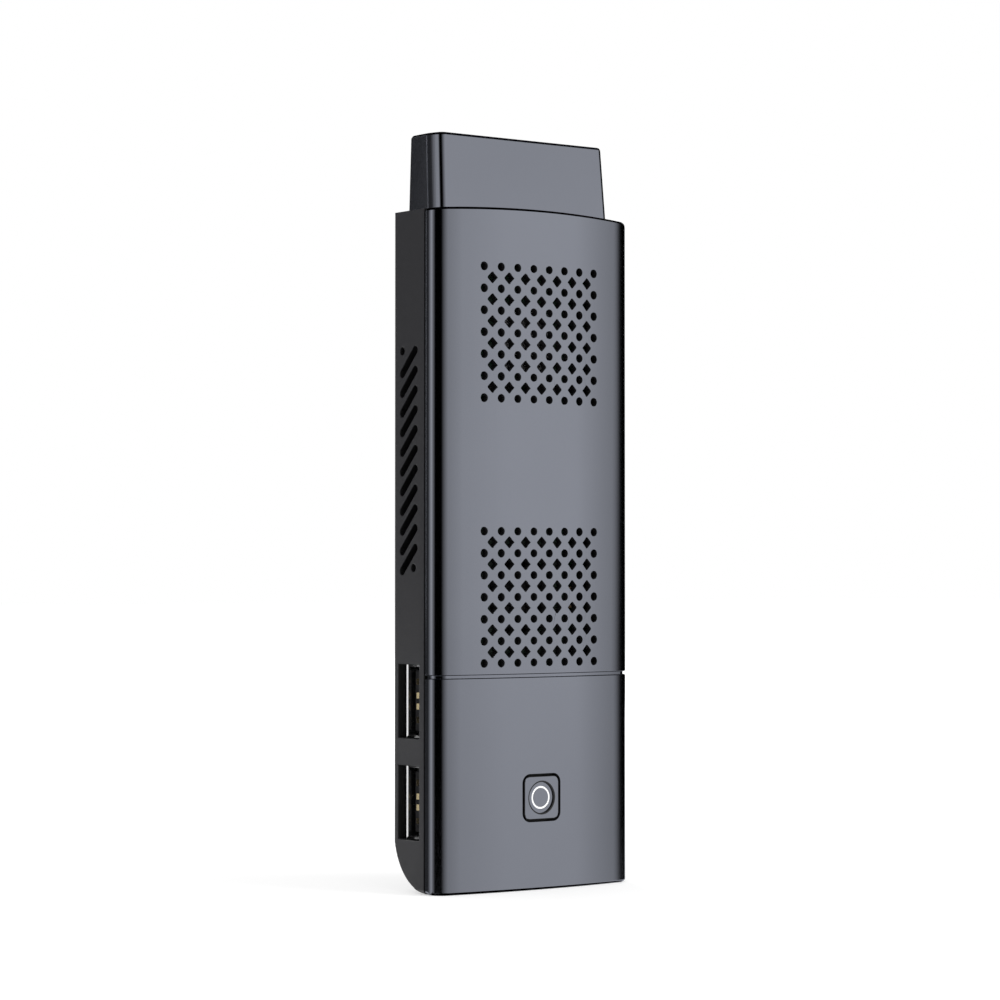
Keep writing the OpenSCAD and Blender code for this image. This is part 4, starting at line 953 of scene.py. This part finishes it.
# %% Floor
FLOOR_SIZE = 8.0
FLOOR_GLOW_NEAR = 0.46
FLOOR_GLOW_FAR = 0.60
FLOOR_FAR = 0.9
PAPER_WHITE = (0.80, 0.80, 0.80, 1.0)


def showing_rays(finish):
    """The kinds of ray, and 1 for those that show a thing as it is."""
    rays = finish.node("ShaderNodeLightPath").socket.node.outputs
    shown = Value(finish, rays["Is Camera Ray"])
    for kind in ("Is Glossy Ray", "Is Transmission Ray"):
        shown = shown.math("MAXIMUM", Value(finish, rays[kind]))
    return rays, shown


bpy.ops.object.select_all(action="DESELECT")
bpy.ops.mesh.primitive_plane_add(size=FLOOR_SIZE, location=(0.0, 0.0, cad_low.z))
floor = bpy.context.active_object
floor.name = "floor"
paper = Finish("white_paper")
paper_shown = showing_rays(paper)[1]
away = paper.node("ShaderNodeVectorMath", {"operation": "LENGTH"}, {0: paper.place()}, output="Value")
far_part = away.math("DIVIDE", FLOOR_FAR).math("MINIMUM", 1.0)
glow = FLOOR_GLOW_NEAR + far_part * (FLOOR_GLOW_FAR - FLOOR_GLOW_NEAR)
paper.put(
    Base_Color=PAPER_WHITE,
    Roughness=0.9,
    Specular_IOR_Level=0.0,
    Emission_Color=paper.blend(paper_shown * glow, (0.0, 0.0, 0.0), (1.0, 1.0, 1.0)),
    Emission_Strength=1.0,
)
floor.data.materials.append(paper.material)
floor.visible_glossy = False
print("floor ready")

# %% World
WORLD_DIFFUSE = 0.55
SKY_LOW = (0.0, -0.09)
SKY_HIGH = (0.12, 0.28)
SKY_DIM = 0.13

world = bpy.data.worlds.new("studio")
world.use_nodes = True
scene.world = world
sky = Finish("sky", tree=world.node_tree)
sky_rays, sky_shown = showing_rays(sky)
backdrop = world.node_tree.nodes["Background"]
backdrop.inputs["Color"].default_value = (1.0, 1.0, 1.0, 1.0)
sky_way = sky.node("ShaderNodeTexCoord", output="Generated")
sky_height = Value(sky, sky.node("ShaderNodeSeparateXYZ", {}, {0: sky_way}).socket.node.outputs["Z"])
dims = []
for clear, dim in (SKY_LOW, SKY_HIGH):
    limits = {"Value": sky_height, "From Min": clear, "From Max": dim}
    dims.append(sky.node("ShaderNodeMapRange", {"clamp": True}, limits))
dimmed = (dims[0] + dims[1]) * Value(sky, sky_rays["Is Glossy Ray"]) * SKY_DIM
sky.fill(backdrop.inputs["Strength"], WORLD_DIFFUSE + sky_shown * (1.0 - WORLD_DIFFUSE) - dimmed)
print("world ready")

# %% [markdown]
# ## Lamps and flags
# Three soft lamps give the plain light. A satin metal shows mostly what stands round it, so, as in a real
# studio, black flags stand out of the picture and give the rounded edges their dark lines. A flag is a
# standing sheet on part of a circle, and only reflections see it.

# %% Lamps
LAMP_SIZE = 0.9
LAMP_AIM = Vector((0.0, 0.0, -0.06))


def soft_lamp(name, place, power):
    data = bpy.data.lights.new(name, "AREA")
    data.shape = "DISK"
    data.size = LAMP_SIZE
    data.energy = power
    lamp = bpy.data.objects.new(name, data)
    scene.collection.objects.link(lamp)
    lamp.location = place
    aim = LAMP_AIM - Vector(place)
    lamp.rotation_euler = aim.to_track_quat("-Z", "Y").to_euler()
    lamp.visible_glossy = False
    print(name, power, "W")


soft_lamp("key_lamp", place=(0.75, -1.0, 0.85), power=8.0)
soft_lamp("fill_lamp", place=(-1.1, -0.6, 0.5), power=3.0)
soft_lamp("back_lamp", place=(0.2, 1.2, 0.8), power=4.0)

# %% Flags
FLAG_R = 1.1
FLAG_TOP = 0.62
FLAG_LOW = -0.33
RIGHT_LOW = -0.26
REAR_RIGHT_LOW = -0.14
CARD_TOP = -0.10
CARD_GLOW = 2.5
SIDE_GREY = 0.06
FLAG_STEPS = 180


def reflections_only(sheet):
    sheet.visible_camera = False
    sheet.visible_diffuse = False
    sheet.visible_shadow = False


def flag_cloth(name, grey):
    cloth = Finish(name)
    cloth.put(Base_Color=(0.0, 0.0, 0.0, 1.0), Roughness=1.0, Specular_IOR_Level=0.0)
    cloth.put(Emission_Color=(1.0, 1.0, 1.0, 1.0), Emission_Strength=grey)
    return cloth


def flag(name, near_fade, far_fade, low=FLAG_LOW, top=FLAG_TOP, grey=0.0):
    """A standing sheet on part of a circle. Each fade has the azimuths where it is clear, half and full, in
    degrees, with 0 in front of the stick and 90 on its right."""
    bpy.ops.object.select_all(action="DESELECT")
    bpy.ops.mesh.primitive_circle_add(vertices=FLAG_STEPS, radius=FLAG_R, location=(0.0, 0.0, low))
    sheet = bpy.context.active_object
    sheet.name = name
    bpy.ops.object.transform_apply(location=True)
    bpy.ops.object.mode_set(mode="EDIT")
    bpy.ops.mesh.select_mode(type="EDGE")
    bpy.ops.mesh.select_all(action="SELECT")
    bpy.ops.mesh.extrude_region_move(TRANSFORM_OT_translate={"value": (0.0, 0.0, top - low)})
    bpy.ops.mesh.select_mode(type="FACE")
    bpy.ops.mesh.select_all(action="DESELECT")
    ends = sorted((near_fade[0], far_fade[0]))
    shape = bmesh.from_edit_mesh(sheet.data)
    for face in shape.faces:
        spot = face.calc_center_median()
        azimuth = math.degrees(math.atan2(spot.x, -spot.y))
        face.select_set(not ends[0] < azimuth < ends[1])
    bmesh.update_edit_mesh(sheet.data)
    bpy.ops.mesh.delete(type="FACE")
    bpy.ops.object.mode_set(mode="OBJECT")
    cloth = flag_cloth(name + "_cloth", grey)
    parts = cloth.node("ShaderNodeSeparateXYZ", {}, {0: cloth.place()}).socket.node.outputs
    turn = Value(cloth, parts["X"]).math("ARCTAN2", 0.0 - Value(cloth, parts["Y"]))
    fades = []
    for stops in (near_fade, far_fade):
        ramps = []
        for begin, end in zip(stops, stops[1:]):
            limits = {"Value": turn, "From Min": math.radians(begin), "From Max": math.radians(end)}
            ramps.append(cloth.node("ShaderNodeMapRange", {"clamp": True}, limits))
        fades.append((ramps[0] + ramps[1]) * 0.5)
    cloth.put(Alpha=fades[0].math("MINIMUM", fades[1]))
    sheet.data.materials.append(cloth.material)
    reflections_only(sheet)
    print(name, len(sheet.data.polygons), "panels")


flag("left_flag", (30.0, -6.0, -38.0), (-100.0, -92.0, -78.0))
flag("side_flag", (-100.0, -111.0, -123.0), (-152.0, -150.0, -148.0), grey=SIDE_GREY)
flag("rear_left_flag", (-140.0, -142.0, -144.0), (-178.0, -175.0, -172.0), low=CARD_TOP, grey=SIDE_GREY)
flag("low_card", (-148.0, -151.0, -154.0), (-178.0, -175.0, -172.0), top=CARD_TOP, grey=CARD_GLOW)
flag("right_flag", (45.0, 57.5, 63.5), (108.0, 107.0, 106.0), low=RIGHT_LOW)
flag("rear_right_flag", (100.0, 101.0, 102.0), (178.0, 174.0, 170.0), low=REAR_RIGHT_LOW)

# %% Level flags
LOW_FLAG_R = 0.42
LOW_FLAG_DROP = 0.30


def level_flag(name, radius, height):
    bpy.ops.object.select_all(action="DESELECT")
    place = (0.0, 0.0, height)
    bpy.ops.mesh.primitive_circle_add(vertices=FLAG_STEPS, radius=radius, fill_type="NGON", location=place)
    sheet = bpy.context.active_object
    sheet.name = name
    bpy.ops.object.transform_apply(location=True)
    sheet.data.materials.append(flag_cloth(name + "_cloth", 0.0).material)
    reflections_only(sheet)
    print(name, "at", round(height, 3), "m")


level_flag("top_flag", FLAG_R, FLAG_TOP)
level_flag("low_flag", LOW_FLAG_R, cad_low.z - LOW_FLAG_DROP)
